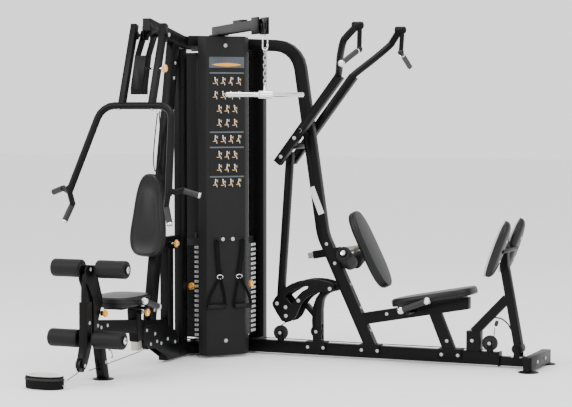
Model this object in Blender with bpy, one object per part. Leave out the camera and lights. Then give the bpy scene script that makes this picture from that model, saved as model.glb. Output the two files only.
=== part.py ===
"""Two-station home gym: corner tower with two weight stacks, press and leg station (-Y), row and leg press (+X).

Metres, +Z up. The origin is on the floor under the tower's corner post. The press station lies in the
plane X = 0, the row station in the plane Y = 0, and the tower shroud faces the diagonal between them.
"""
import math

import bmesh
import bpy
from mathutils import Matrix, Vector

for old in list(bpy.data.objects):
    bpy.data.objects.remove(old)

# ---- driving sizes -------------------------------------------------------------------------------
GAP = 0.0003            # paint-to-paint gap between fitted pieces
TUBE_W = 0.0508         # frame tube, narrow side
HW = TUBE_W / 2
TUBE_H = 0.0760         # frame tube, deep side
FLOOR_GAP = 0.0110      # beams stand this far off the floor on their discs
BEAM_TOP = FLOOR_GAP + TUBE_H
DIAG = math.sqrt(0.5)

PLATE_N = 19            # selectable plates in each stack
PLATE_UP = 9            # plates above the selector pin
PLATE_PITCH = 0.0298
PLATE_Z0 = 0.1330       # centre height of the lowest plate
PLATE_HALF = 0.115
PLATE_DEEP = 0.110
ROD_R = 0.0095
ROD_OFF = 0.095
PIN_R = 0.0048

PULLEY_W = 0.022
AXLE_R = 0.0050
ROLLER_R = 0.0500

LEFT_STACK = (0.048, -0.225)     # centre of the stack that faces -Y
RIGHT_STACK = (0.242, 0.000)     # centre of the stack that faces +X

PRESS_AXLE = (-0.756, 1.947)     # y, z
LEG_AXLE = (-1.535, 0.600)       # y, z
ARM_AXLE = (0.700, 1.385)        # x, z
CAM_AXLE = (0.863, 0.425)        # x, z
ROD_TOP = (0.578, 1.226)         # x, z
ROD_LOW = (0.515, 0.321)         # x, z
FOOT_AXLE = (2.030, 0.115)       # x, z

COLLECTION = bpy.data.collections.new("home_gym")
HELPERS = bpy.data.collections.new("helpers")
bpy.context.scene.collection.children.link(COLLECTION)
bpy.context.scene.collection.children.link(HELPERS)

PALETTE = {
    "frame": ((0.018, 0.018, 0.019), 0.0, 0.42),
    "shroud": ((0.038, 0.038, 0.040), 0.0, 0.60),
    "vinyl": ((0.030, 0.030, 0.032), 0.0, 0.45),
    "foam": ((0.022, 0.022, 0.023), 0.0, 0.75),
    "chrome": ((0.78, 0.78, 0.79), 1.0, 0.12),
    "steel": ((0.55, 0.53, 0.50), 1.0, 0.32),
    "iron": ((0.055, 0.056, 0.060), 0.0, 0.50),
    "knob": ((0.86, 0.44, 0.030), 0.0, 0.35),
    "pulley": ((0.014, 0.014, 0.015), 0.0, 0.40),
    "rubber": ((0.020, 0.020, 0.020), 0.0, 0.80),
    "cable": ((0.030, 0.030, 0.030), 0.0, 0.35),
    "web": ((0.016, 0.016, 0.017), 0.0, 0.90),
    "fleece": ((0.80, 0.80, 0.78), 0.0, 0.95),
}


def material(name, kind):
    colour, metallic, rough = PALETTE[kind]
    mat = bpy.data.materials.new(name)
    mat.use_nodes = True
    mat.diffuse_color = (*colour, 1.0)
    shader = mat.node_tree.nodes["Principled BSDF"]
    shader.inputs["Base Color"].default_value = (*colour, 1.0)
    shader.inputs["Metallic"].default_value = metallic
    shader.inputs["Roughness"].default_value = rough
    return mat


# ---- solids --------------------------------------------------------------------------------------
def faces_from(rings, closed_ends=True, loop=False):
    """A closed skin through rings of points."""
    bm = bmesh.new()
    rows = [[bm.verts.new(p) for p in ring] for ring in rings]
    count = len(rows[0])
    last = len(rows) if loop else len(rows) - 1
    for i in range(last):
        a, b = rows[i], rows[(i + 1) % len(rows)]
        for j in range(count):
            k = (j + 1) % count
            bm.faces.new((a[j], a[k], b[k], b[j]))
    if closed_ends and not loop:
        bm.faces.new(list(reversed(rows[0])))
        bm.faces.new(rows[-1])
    bmesh.ops.recalc_face_normals(bm, faces=bm.faces)
    return bm


def box(x0, x1, y0, y1, z0, z1):
    low = [(x0, y0, z0), (x1, y0, z0), (x1, y1, z0), (x0, y1, z0)]
    return faces_from([low, [(x, y, z1) for x, y, _ in low]])


def prism_xz(points, y0, y1):
    """A plate drawn in X and Z, between two Y."""
    return faces_from([[(x, y0, z) for x, z in points], [(x, y1, z) for x, z in points]])


def prism_yz(points, x0, x1):
    """A plate drawn in Y and Z, between two X."""
    return faces_from([[(x0, y, z) for y, z in points], [(x1, y, z) for y, z in points]])


def prism_xy(points, z0, z1):
    return faces_from([[(x, y, z0) for x, y in points], [(x, y, z1) for x, y in points]])


def frame_along(direction):
    d = Vector(direction).normalized()
    side = Vector((0, 0, 1)).cross(d)
    if side.length < 1e-6:
        side = Vector((1, 0, 0))
    side.normalize()
    return d, side, d.cross(side)


def rod(start, end, radius, n=12, radius2=None):
    a, b = Vector(start), Vector(end)
    _, side, up = frame_along(b - a)
    rings = []
    for p, r in ((a, radius), (b, radius if radius2 is None else radius2)):
        rings.append([p + r * (math.cos(t) * side + math.sin(t) * up)
                      for t in (2 * math.pi * k / n for k in range(n))])
    return faces_from(rings)


def lathe(start, direction, profile, n=16):
    """A solid of revolution: profile is (distance along, radius), ends above zero radius."""
    a = Vector(start)
    d, side, up = frame_along(direction)
    rings = [[a + s * d + r * (math.cos(t) * side + math.sin(t) * up)
              for t in (2 * math.pi * k / n for k in range(n))] for s, r in profile]
    return faces_from(rings)


def ring_solid(start, direction, profile, n=20):
    """A ring of revolution: a closed (distance, radius) loop turned about the axis."""
    a = Vector(start)
    d, side, up = frame_along(direction)
    rings = []
    for k in range(n):
        t = 2 * math.pi * k / n
        out = math.cos(t) * side + math.sin(t) * up
        rings.append([a + s * d + r * out for s, r in profile])
    return faces_from(rings, loop=True)


def bar(start, end, wide, deep, wide_axis):
    """A rectangular bar; wide_axis is the direction of its wide measure."""
    a, b = Vector(start), Vector(end)
    d = (b - a).normalized()
    w = Vector(wide_axis)
    w = (w - w.dot(d) * d).normalized()
    u = d.cross(w)
    rings = [[p + sx * wide / 2 * w + sy * deep / 2 * u
              for sx, sy in ((-1, -1), (1, -1), (1, 1), (-1, 1))] for p in (a, b)]
    return faces_from(rings)


def rounded(points, radii, steps=4):
    """The same path with its inner corners rounded, in 2-D or 3-D."""
    pts = [Vector(p) for p in points]
    out = [pts[0]]
    for i in range(1, len(pts) - 1):
        r = radii[i - 1] if isinstance(radii, (list, tuple)) else radii
        p, a, b = pts[i], pts[i - 1], pts[i + 1]
        da, db = (a - p).normalized(), (b - p).normalized()
        half = math.acos(max(-1.0, min(1.0, da.dot(db)))) / 2
        reach = r / math.tan(half)
        start, end = p + da * reach, p + db * reach
        centre = p + (da + db).normalized() * (r / math.sin(half))
        va, vb = start - centre, end - centre
        whole = va.angle(vb)
        for k in range(steps + 1):
            f = k / steps
            v = (math.sin((1 - f) * whole) * va + math.sin(f * whole) * vb) / math.sin(whole)
            out.append(centre + v)
    out.append(pts[-1])
    return out


def band(path, half):
    """The outline of a strip of even width about a path in the plane."""
    pts = [Vector(p) for p in path]
    left, right = [], []
    for i, p in enumerate(pts):
        before = (p - pts[i - 1]).normalized() if i else None
        after = (pts[i + 1] - p).normalized() if i < len(pts) - 1 else None
        d = ((before or after) + (after or before)).normalized()
        n = Vector((-d.y, d.x))
        whole = before is not None and after is not None
        stretch = 1.0 / max(0.5, n.dot(Vector((-before.y, before.x)))) if whole else 1.0
        left.append(p + n * half * stretch)
        right.append(p - n * half * stretch)
    return [tuple(p) for p in left + right[::-1]]


def pipe(path, radius, n=8):
    """A round bar along a path in space, carried round its bends without twist."""
    pts = [Vector(p) for p in path]
    d, side, up = frame_along(pts[1] - pts[0])
    rings = []
    for i, p in enumerate(pts):
        if 0 < i < len(pts) - 1:
            t = ((p - pts[i - 1]).normalized() + (pts[i + 1] - p).normalized()).normalized()
            stretch = 1.0 / max(0.6, t.dot((p - pts[i - 1]).normalized()))
        else:
            t = (pts[1] - pts[0]).normalized() if i == 0 else (pts[-1] - pts[-2]).normalized()
            stretch = 1.0
        turn = d.rotation_difference(t)
        side, up, d = turn @ side, turn @ up, t
        # the ring is widened across the bend so the bar keeps its thickness
        bend = Vector((0, 0, 0)) if i in (0, len(pts) - 1) else \
            ((pts[i + 1] - p).normalized() - (p - pts[i - 1]).normalized())
        bend = bend.normalized() if bend.length > 1e-6 else None
        ring = []
        for k in range(n):
            a = 2 * math.pi * k / n
            v = radius * (math.cos(a) * side + math.sin(a) * up)
            if bend is not None:
                v += (stretch - 1.0) * v.dot(bend) * bend
            ring.append(p + v)
        rings.append(ring)
    return faces_from(rings)


def pillow(centre, long_dir, wide_dir, outline, thick, edge=0.018):
    """A cushion: an outline of (along, across) points, with its edges rolled over front and back."""
    c, u, v = Vector(centre), Vector(long_dir).normalized(), Vector(wide_dir).normalized()
    w = u.cross(v)
    mid_a = sum(a for a, _ in outline) / len(outline)
    mid_b = sum(b for _, b in outline) / len(outline)
    size = max(max(abs(a - mid_a), abs(b - mid_b)) for a, b in outline)
    rings = []
    levels = [(-thick / 2, edge), (-thick / 2 + edge * 0.35, edge * 0.3), (-thick / 2 + edge, 0.0),
              (thick / 2 - edge, 0.0), (thick / 2 - edge * 0.35, edge * 0.3), (thick / 2, edge)]
    for h, inset in levels:
        k = 1.0 - inset / size
        rings.append([c + u * (mid_a + (a - mid_a) * k) + v * (mid_b + (b - mid_b) * k) + w * h
                      for a, b in outline])
    return faces_from(rings)


def clip(points, a, b, c):
    """The part of a plane outline where a*u + b*v <= c."""
    out = []
    for i, p in enumerate(points):
        q = points[(i + 1) % len(points)]
        fp, fq = a * p[0] + b * p[1] - c, a * q[0] + b * q[1] - c
        if fp <= 0:
            out.append(tuple(p))
        if fp * fq < 0:
            f = fp / (fp - fq)
            out.append((p[0] + f * (q[0] - p[0]), p[1] + f * (q[1] - p[1])))
    return out


def placed(bm, name):
    mesh = bpy.data.meshes.new(name)
    bm.to_mesh(mesh)
    bm.free()
    return bpy.data.objects.new(name, mesh)


def node(name, kind, solids, cuts=(), after=()):
    """One named sub-part: the first solid joined to the others, less the cuts, then any added after."""
    obj = placed(solids[0], name)
    COLLECTION.objects.link(obj)
    obj.data.materials.append(material(name, kind))
    jobs = [("UNION", s) for s in solids[1:]] + [("DIFFERENCE", s) for s in cuts]
    jobs += [("UNION", s) for s in after]
    for i, (how, solid) in enumerate(jobs):
        helper = placed(solid, f"helper_{name}_{i:02d}")
        HELPERS.objects.link(helper)
        helper.hide_render = True
        helper.display_type = "WIRE"
        mod = obj.modifiers.new(f"{how.lower()}_{i:02d}", "BOOLEAN")
        mod.operation, mod.solver, mod.object = how, "EXACT", helper
    return obj


def diag(t, s, z):
    """t along the diagonal away from the tower, s across it."""
    return Vector((DIAG * (t + s), DIAG * (s - t), z))


DIAG_T = diag(1, 0, 0)
DIAG_S = diag(0, 1, 0)


def diag_box(t0, t1, s0, s1, z0, z1):
    low = [diag(t0, s0, z0), diag(t1, s0, z0), diag(t1, s1, z0), diag(t0, s1, z0)]
    return faces_from([low, [p + Vector((0, 0, z1 - z0)) for p in low]])


def pulley(name, centre, axis, radius, width=PULLEY_W):
    """A grooved wheel with a bore that runs on its axle."""
    c, d = Vector(centre), Vector(axis).normalized()
    h, lip = width / 2, width * 0.16
    bore = AXLE_R + 0.00025
    profile = [(-h, bore), (-h, radius), (-h + lip, radius), (0.0, radius - 0.009), (h - lip, radius),
               (h, radius), (h, bore)]
    return node(name, "pulley", [ring_solid(c, d, profile, 16)])


def foam_roller(name, start, end, radius=ROLLER_R, bore=0.0132):
    a, b = Vector(start), Vector(end)
    length = (b - a).length
    profile = [(0.0, bore), (0.0, radius - 0.010), (0.007, radius), (length - 0.007, radius),
               (length, radius - 0.010), (length, bore)]
    return node(name, "foam", [ring_solid(a, b - a, profile, 18)])


def knob_solid(start, direction, reach, radius=0.0205):
    """A pull knob on a stem."""
    return lathe(start, direction, [(0.0, 0.006), (reach - 0.016, 0.006), (reach - 0.014, 0.011),
                                    (reach - 0.011, radius * 0.86), (reach - 0.008, radius),
                                    (reach - 0.003, radius), (reach, radius * 0.8)], 14)


# ---- base frame ----------------------------------------------------------------------------------
def pulley_cheeks(x, z, base, y=0.0, half=0.0165):
    """Two upright lugs and the axle that carry a wheel lying in the plane Y = y."""
    lug = [(x - half, base), (x + half, base), (x + half * 0.8, z + 0.010), (x, z + 0.015), (x - half * 0.8, z + 0.010)]
    return [prism_xz(lug, y + s * 0.0130, y + s * 0.0175) for s in (1, -1)] + \
        [rod((x, y - 0.0170, z), (x, y + 0.0170, z), AXLE_R)]


def disc(x, y, r):
    return lathe((x, y, 0.0), (0, 0, 1), [(0.0, r), (0.004, r), (0.0065, r * 0.86), (FLOOR_GAP + 0.001, r * 0.36)])


BEAM_END = 1.913
BEAM_WHEELS = [("row_pulley", 0.516, 0.135, 0.0450), ("press_pulley", 1.856, 0.137, 0.0460)]
node("right_beam", "frame",
     [box(HW + GAP, BEAM_END, -HW, HW, FLOOR_GAP, BEAM_TOP),
      box(BEAM_END - 0.001, BEAM_END + 0.008, -0.032, 0.032, 0.006, BEAM_TOP + 0.005)]
     + [lug for _, x, z, _ in BEAM_WHEELS for lug in pulley_cheeks(x, z, BEAM_TOP - 0.001)])
for wheel, x, z, r in BEAM_WHEELS:
    pulley(wheel, (x, 0, z), (0, 1, 0), r)

CROSS_Y0, CROSS_Y1 = -0.186, 0.241
lug = [(2.012, 0.060), (2.048, 0.060), (2.046, 0.120), (2.030, 0.131), (2.014, 0.120)]
node("end_base", "frame",
     [box(2.109, 2.160, CROSS_Y0, CROSS_Y1, FLOOR_GAP, BEAM_TOP),
      box(BEAM_END + 0.008 + GAP, 2.110, -0.0225, 0.0225, FLOOR_GAP, 0.064),
      box(1.995, 2.060, -0.0480, 0.0480, 0.0600, 0.0655)]
     + [prism_xz(lug, s * 0.0440, s * 0.0485) for s in (1, -1)]
     + [rod((FOOT_AXLE[0], -0.0540, FOOT_AXLE[1]), (FOOT_AXLE[0], 0.0540, FOOT_AXLE[1]), 0.0120)]
     + [disc(2.1345, CROSS_Y0 + 0.023, 0.060), disc(2.1345, CROSS_Y1 - 0.023, 0.060)])
node("left_base_beam", "frame",
     [box(-HW, HW, -0.600, HW, FLOOR_GAP, BEAM_TOP), disc(0.0, 0.0, 0.055),
      prism_xy([(0.0, -0.315), (0.2893, -0.0257), (0.2173, -0.0257), (0.0, -0.243)], FLOOR_GAP, BEAM_TOP)])
node("corner_post", "frame",
     [box(-HW, HW, -HW, HW, BEAM_TOP + GAP, 1.8776), box(-0.0200, 0.0200, -0.1440, -HW + 0.0010, 1.700, 1.740),
      box(-0.0200, 0.0200, -0.1440, -HW + 0.0010, 0.150, 0.190),
      box(-0.0900, 0.1600, -0.1480, -0.1430, BEAM_TOP + 0.010, 1.8600)])
node("right_post", "frame",
     [box(0.236, 0.338, 0.134, 0.190, FLOOR_GAP, 1.9360), box(0.262, 0.338, HW + GAP, 0.150, FLOOR_GAP, BEAM_TOP),
      box(0.262, 0.338, HW + 0.0010, 0.150, 1.8850, 1.9360)])
node("left_post", "frame", [box(-HW, HW, -0.385, -0.309, BEAM_TOP + GAP, 1.8776)])

# ---- press station frame -------------------------------------------------------------------------


def beam_z(y):
    """Upper edge of the sloping beam."""
    return 0.343 - 0.103 * (y + 1.430)


def upright_y(z):
    """Front edge of the leaning upright."""
    return -0.487 - 0.196 * (1.891 - z)


SEAT_LOW = Vector((0.0, -0.9286, 0.117))
SEAT_TOP = Vector((0.0, -0.9650, 0.388))
UP_DEEP = 0.0777
SLIDE_Z = 0.7120
sleeve_low, sleeve_top = SEAT_LOW.lerp(SEAT_TOP, 0.20), SEAT_LOW.lerp(SEAT_TOP, 0.90)
pin_at = SEAT_LOW.lerp(SEAT_TOP, 0.83)
node("left_beam", "frame",
     [prism_yz([(-1.430, beam_z(-1.430)), (-0.590, beam_z(-0.590)), (-0.590, beam_z(-0.590) - TUBE_H),
                (-1.430, beam_z(-1.430) - TUBE_H)], -HW, HW),
      bar(sleeve_low, sleeve_top, 0.0600, 0.0600, (1, 0, 0)),
      rod(pin_at + Vector((0.029, 0, 0)), pin_at + Vector((0.052, 0, 0)), 0.0120, 14)],
     cuts=[bar(SEAT_LOW.lerp(SEAT_TOP, -0.2), SEAT_LOW.lerp(SEAT_TOP, 1.2), 0.0480, 0.0480, (1, 0, 0)),
           rod(pin_at + Vector((0.015, 0, 0)), pin_at + Vector((0.060, 0, 0)), 0.0066, 14)])
node("left_front_post", "frame",
     [prism_yz([(-1.3660, FLOOR_GAP), (-1.3130, FLOOR_GAP), (-1.3730, 0.2607), (-1.4260, 0.2662)], -HW, HW),
      disc(0.0, -1.336, 0.061)],
     cuts=[box(-0.0100, 0.0100, -1.50, -1.20, 0.0550, 0.1150)])
GUSSET = [(-0.903, 0.175), (-0.903, 0.232), (-0.872, 0.256), (-0.640, 0.248), (-0.480, 0.178), (-0.440, 0.140),
          (-0.440, 0.024), (-0.575, 0.024), (-0.735, 0.100), (-0.795, 0.108), (-0.838, 0.118), (-0.893, 0.150)]
LEFT_WHEEL = (-0.812, 0.136)
node("left_gusset", "frame",
     [prism_yz(GUSSET, HW + GAP, HW + GAP + 0.005), prism_yz(GUSSET, -HW - GAP - 0.005, -HW - GAP),
      rod((-HW - 0.003, *LEFT_WHEEL), (HW + 0.003, *LEFT_WHEEL), AXLE_R),
      rod((-HW - 0.003, -0.678, 0.125), (HW + 0.003, -0.678, 0.125), 0.0100)])
pulley("low_pulley", (0, *LEFT_WHEEL), (1, 0, 0), 0.0350)
TOWER = [(-1.4860, 0.2640), (-1.4304, 0.2640), (-1.4304, 0.3500), (-1.3850, 0.4400), (-1.3900, 0.4800),
         (-1.4550, 0.6300), (-1.4640, 0.6540), (-1.5500, 0.6620), (-1.5740, 0.6350), (-1.5640, 0.5750),
         (-1.4950, 0.4700), (-1.4860, 0.4200)]
UPPER_ROLL, LOWER_ROLL = (-1.479, 0.635), (-1.519, 0.249)
ROLL_IN, ROLL_OUT = 0.0480, 0.2310


def roller_bar(y, z):
    """A cross bar with a retaining cap at each end."""
    caps = [lathe((s * (ROLL_OUT + GAP), y, z), (s, 0, 0), [(0, 0.026), (0.004, 0.026), (0.007, 0.019)], 16)
            for s in (1, -1)]
    return [rod((-ROLL_OUT - 0.003, y, z), (ROLL_OUT + 0.003, y, z), 0.0125)] + caps


node("knee_tower", "frame", [prism_yz(TOWER, -HW, HW), *roller_bar(*UPPER_ROLL)],
     cuts=[box(-0.0168, 0.0168, -1.62, -1.497, 0.400, 0.720)],
     after=[rod((-0.0250, *LEG_AXLE), (0.0250, *LEG_AXLE), 0.0070)])
LEVER = [(-1.5620, 0.4550), (-1.5080, 0.4550), (-1.5060, 0.2200), (-1.5300, 0.1700), (-1.5600, 0.1150),
         (-1.5850, 0.0900), (-1.6060, 0.0980), (-1.6080, 0.1230), (-1.5860, 0.1500), (-1.5640, 0.2200)]
TONGUE = [(-1.5540, 0.5980), (-1.5450, 0.6150), (-1.5250, 0.6150), (-1.5160, 0.5980), (-1.5120, 0.4400),
          (-1.5580, 0.4400)]
HOOK_WHEEL = (-1.591, 0.110)
node("leg_lever", "frame",
     [prism_yz(LEVER, -HW, HW), prism_yz(TONGUE, -0.0160, 0.0160), *roller_bar(*LOWER_ROLL)],
     cuts=[rod((-0.03, *LEG_AXLE), (0.03, *LEG_AXLE), 0.0074),
           rod((-0.0125, *HOOK_WHEEL), (0.0125, *HOOK_WHEEL), 0.0400, 20)],
     after=[rod((-0.0180, *HOOK_WHEEL), (0.0180, *HOOK_WHEEL), AXLE_R)])
pulley("hook_pulley", (0, *HOOK_WHEEL), (1, 0, 0), 0.0370)
for level, (y, z) in (("upper", UPPER_ROLL), ("lower", LOWER_ROLL)):
    for side, s in (("left", -1), ("right", 1)):
        foam_roller(f"{level}_roller_{side}", (s * ROLL_IN, y, z), (s * ROLL_OUT, y, z))

node("left_upright", "frame",
     [prism_yz([(upright_y(0.2788), 0.2788), (upright_y(0.2788) + UP_DEEP, 0.2708),
                (upright_y(1.8976) + UP_DEEP, 1.8976), (upright_y(1.9123), 1.9123)], -HW, HW)],
     cuts=[box(-0.0167, 0.0167, -0.90, -0.50, SLIDE_Z - 0.0207, SLIDE_Z + 0.0207)])
PIN_Y = -0.560
node("left_rear_post", "frame",
     [box(-HW, HW, -0.575, -0.499, BEAM_TOP + GAP, 0.680), box(-0.0210, 0.0210, -0.6200, -0.4200, 0.6730, 0.7510),
      rod((0.020, PIN_Y, SLIDE_Z), (0.045, PIN_Y, SLIDE_Z), 0.0120, 14)],
     cuts=[box(-0.0167, 0.0167, -0.70, -0.40, SLIDE_Z - 0.0207, SLIDE_Z + 0.0207),
           rod((0.010, PIN_Y, SLIDE_Z), (0.060, PIN_Y, SLIDE_Z), 0.0066, 14)])
HANGER = [(-0.788, 1.918), (-0.724, 1.918), (-0.700, 1.990), (-0.788, 2.000)]
node("left_top_arm", "frame",
     [prism_yz([(HW, 1.878), (-0.300, 1.878), (-0.790, 1.972), (-0.790, 2.045), (-0.335, 1.957), (-0.290, 1.954),
                (HW, 1.954)], -HW, HW),
      prism_yz(HANGER, 0.0200, 0.0300), prism_yz(HANGER, -0.0300, -0.0200)],
     cuts=[rod((-0.1, *PRESS_AXLE), (0.1, *PRESS_AXLE), 0.0104)])

# ---- row station frame ---------------------------------------------------------------------------


def saddle(x0, x1):
    """The plate and cheeks by which a post sits astride the beam."""
    return [box(x0, x1, -0.0306, 0.0306, BEAM_TOP + GAP, BEAM_TOP + 0.006)] + \
        [box(x0 + 0.002, x1 - 0.002, *sorted((s * (HW + GAP), s * 0.0306)), 0.034, BEAM_TOP + 0.003)
         for s in (1, -1)]


SPINE = rounded([(0.0282, 1.9234), (0.6286, 1.8950), (0.7980, 0.7480), (1.1300, 0.0427)], [0.165, 0.300], 5)
SLOPE = math.tan(math.radians(10.0))


def slide_z(x):
    """Centre line of the chest pad's telescoping tube."""
    return 0.6315 + SLOPE * (x - 0.782)


ROLL_HUB = Vector((0.9857, 0.0, 0.5686))
ROLL_DIR = [Vector((0.0764, s * 0.911, 0.404)).normalized() for s in (-1, 1)]
ROW_ROLL_R = 0.0450
node("right_upright", "frame",
     [prism_xz(clip(band(SPINE, 0.0350), 0, -1, -BEAM_TOP - GAP), -HW, HW), *saddle(1.043, 1.175),
      bar((0.7390, 0, slide_z(0.739)), (0.9080, 0, slide_z(0.908)), 0.0480, 0.0480, (0, 1, 0)),
      box(0.9000, 1.0000, -0.0140, 0.0140, 0.5480, 0.5880)]
     + [rod(ROLL_HUB, ROLL_HUB + d * 0.2200, 0.0115) for d in ROLL_DIR]
     + [lathe(ROLL_HUB + d * 0.2160, d, [(0, 0.024), (0.004, 0.024), (0.007, 0.017)], 16) for d in ROLL_DIR],
     cuts=[bar((0.60, 0, slide_z(0.60)), (1.10, 0, slide_z(1.10)), 0.0367, 0.0367, (0, 1, 0)),
           rod((ARM_AXLE[0], -0.1, ARM_AXLE[1]), (ARM_AXLE[0], 0.1, ARM_AXLE[1]), 0.0104)])
for side, d in zip(("near", "far"), ROLL_DIR):
    foam_roller(f"row_roller_{side}", ROLL_HUB + d * 0.0310, ROLL_HUB + d * 0.2155, ROW_ROLL_R, 0.0122)

Y_POST = [(0.739, BEAM_TOP + GAP), (0.732, 0.225), (0.740, 0.311), (0.759, 0.361), (0.786, 0.399), (0.812, 0.425),
          (0.840, 0.444), (0.868, 0.452), (0.8940, 0.458), (0.9138, 0.416), (0.868, 0.404), (0.835, 0.390),
          (0.812, 0.370), (0.799, 0.345), (0.792, 0.289), (0.793, BEAM_TOP + GAP)]
node("row_post", "frame",
     [prism_xz(Y_POST, -HW, HW), *saddle(0.690, 0.824),
      bar((0.745, 0, 0.255), (0.688, 0, 0.3150), 0.0360, 0.0300, (0, 1, 0))],
     cuts=[box(0.70, 0.83, -0.0122, 0.0122, 0.1080, 0.2000),
           rod((CAM_AXLE[0], -0.1, CAM_AXLE[1]), (CAM_AXLE[0], 0.1, CAM_AXLE[1]), 0.0104)],
     after=[rod((0.758, -0.0260, 0.154), (0.758, 0.0260, 0.154), AXLE_R)])
pulley("post_pulley", (0.758, 0, 0.154), (0, 1, 0), 0.0400)


def rail_z(x):
    return 0.275 + 0.185 * (x - 1.215)


SEAT_DIR = Vector((1, 0, 0.185)).normalized()
leg = [(1.4794, 0.310), (1.5708, BEAM_TOP + GAP), (1.6432, BEAM_TOP + GAP), (1.5518, 0.310)]
grip_bits = []
for s in (1, -1):
    grip_bits += [pipe(rounded([(1.400, s * 0.010, 0.3090), (1.400, s * 0.172, 0.3120), (1.404, s * 0.172, 0.3440)],
                               0.018, 3), 0.0110),
                  rod((1.352, s * 0.172, 0.3240), (1.528, s * 0.172, 0.3910), 0.0165, 14)]
node("seat_rail", "frame",
     [prism_xz([(1.0876, rail_z(1.0876) - 0.0356), (1.0572, rail_z(1.0572) + 0.0356),
                (1.730, rail_z(1.730) + 0.0356), (1.730, rail_z(1.730) - 0.0356)], -HW, HW),
      prism_xz(leg, -HW, HW), *saddle(1.543, 1.690),
      bar((1.300, 0, rail_z(1.300) + 0.0400), (1.700, 0, rail_z(1.700) + 0.0400), 0.120, 0.0120, (0, 1, 0))]
     + grip_bits)


def oval(half_long, half_wide, power=3.0, n=24, taper=0.0):
    """A rounded outline; taper narrows it toward the far end."""
    out = []
    for k in range(n):
        a = 2 * math.pi * k / n
        c, s = math.cos(a), math.sin(a)
        u = math.copysign(abs(c) ** (2 / power), c)
        v = math.copysign(abs(s) ** (2 / power), s)
        out.append((half_long * u, half_wide * v * (1 - taper * u)))
    return out


seat_up = Vector((-0.185, 0, 1)).normalized()
seat_mid = Vector((1.524, 0, rail_z(1.524))) + seat_up * (0.0463 + GAP + 0.0250)
node("row_seat", "vinyl", [pillow(seat_mid, SEAT_DIR, (0, 1, 0), oval(0.256, 0.150, 3.4), 0.0500, 0.016)])

# ---- tower head, shroud and guide rods -----------------------------------------------------------
boom_low, boom_high = diag(0.200, 0, 1.9870), diag(0.932, 0, 2.0030)
BOOM_WHEEL = diag(0.984, 0, 1.9900)
node("boom", "frame",
     [bar(boom_low, boom_high, 0.0508, 0.0550, DIAG_S), diag_box(0.172, 0.340, -0.034, 0.034, 1.9585, 1.9680),
      prism_xy([(0.0257, -0.2893), (0.2893, -0.0257), (0.2173, -0.0257), (0.0257, -0.2173)], 1.9000, 1.9600),
      diag_box(0.550, 0.700, -0.018, 0.018, 2.0100, 2.0400)]
     + [diag_box(0.900, 1.005, *sorted((s * 0.0250, s * 0.0350)), 1.945, 2.043) for s in (1, -1)]
     + [rod(BOOM_WHEEL - DIAG_S * 0.030, BOOM_WHEEL + DIAG_S * 0.030, AXLE_R)])
pulley("boom_pulley", BOOM_WHEEL, DIAG_S, 0.0460)

SHEET = 0.0030
SHROUD = [(0.121, -0.3515), (0.1770, -0.3515), (0.3515, -0.1770), (0.3515, -0.121), (0.3485, -0.121),
          (0.3485, -0.1758), (0.1758, -0.3485), (0.121, -0.3485)]
HOOKS = [(-0.063, 0.716), (0.105, 0.717)]
node("shroud", "shroud",
     [prism_xy(SHROUD, 0.015, 1.951), diag_box(0.2234, 0.3725, -0.020, 0.020, 0.035, 0.080),
      diag_box(0.2234, 0.3725, -0.020, 0.020, 1.905, 1.945),
      diag_box(0.3720, 0.3800, -0.074, 0.116, 0.714, 0.734)]
     + [rod(diag(0.372, s, z + 0.006), diag(0.404, s, z + 0.006), 0.0040) for s, z in HOOKS])


def stack_solid(centre, low, high, turned):
    """Plates with grooved edges between row low and row high, as one stepped block."""
    cx, cy = centre
    hx, hy = (PLATE_DEEP / 2, PLATE_HALF) if turned else (PLATE_HALF, PLATE_DEEP / 2)
    rings = []
    for k in range(low, high + 1):
        z = PLATE_Z0 + k * PLATE_PITCH
        dent, half = 0.0024, PLATE_PITCH / 2
        for dz, inset in ((-half, dent), (-half + 0.0028, 0.0), (half - 0.0028, 0.0)):
            rings.append([(cx + sx * (hx - inset), cy + sy * (hy - inset), z + dz)
                          for sx, sy in ((-1, -1), (1, -1), (1, 1), (-1, 1))])
    top = PLATE_Z0 + (high + 0.5) * PLATE_PITCH
    rings.append([(x, y, top - 0.0004) for x, y, _ in rings[0]])
    return faces_from(rings)


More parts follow.
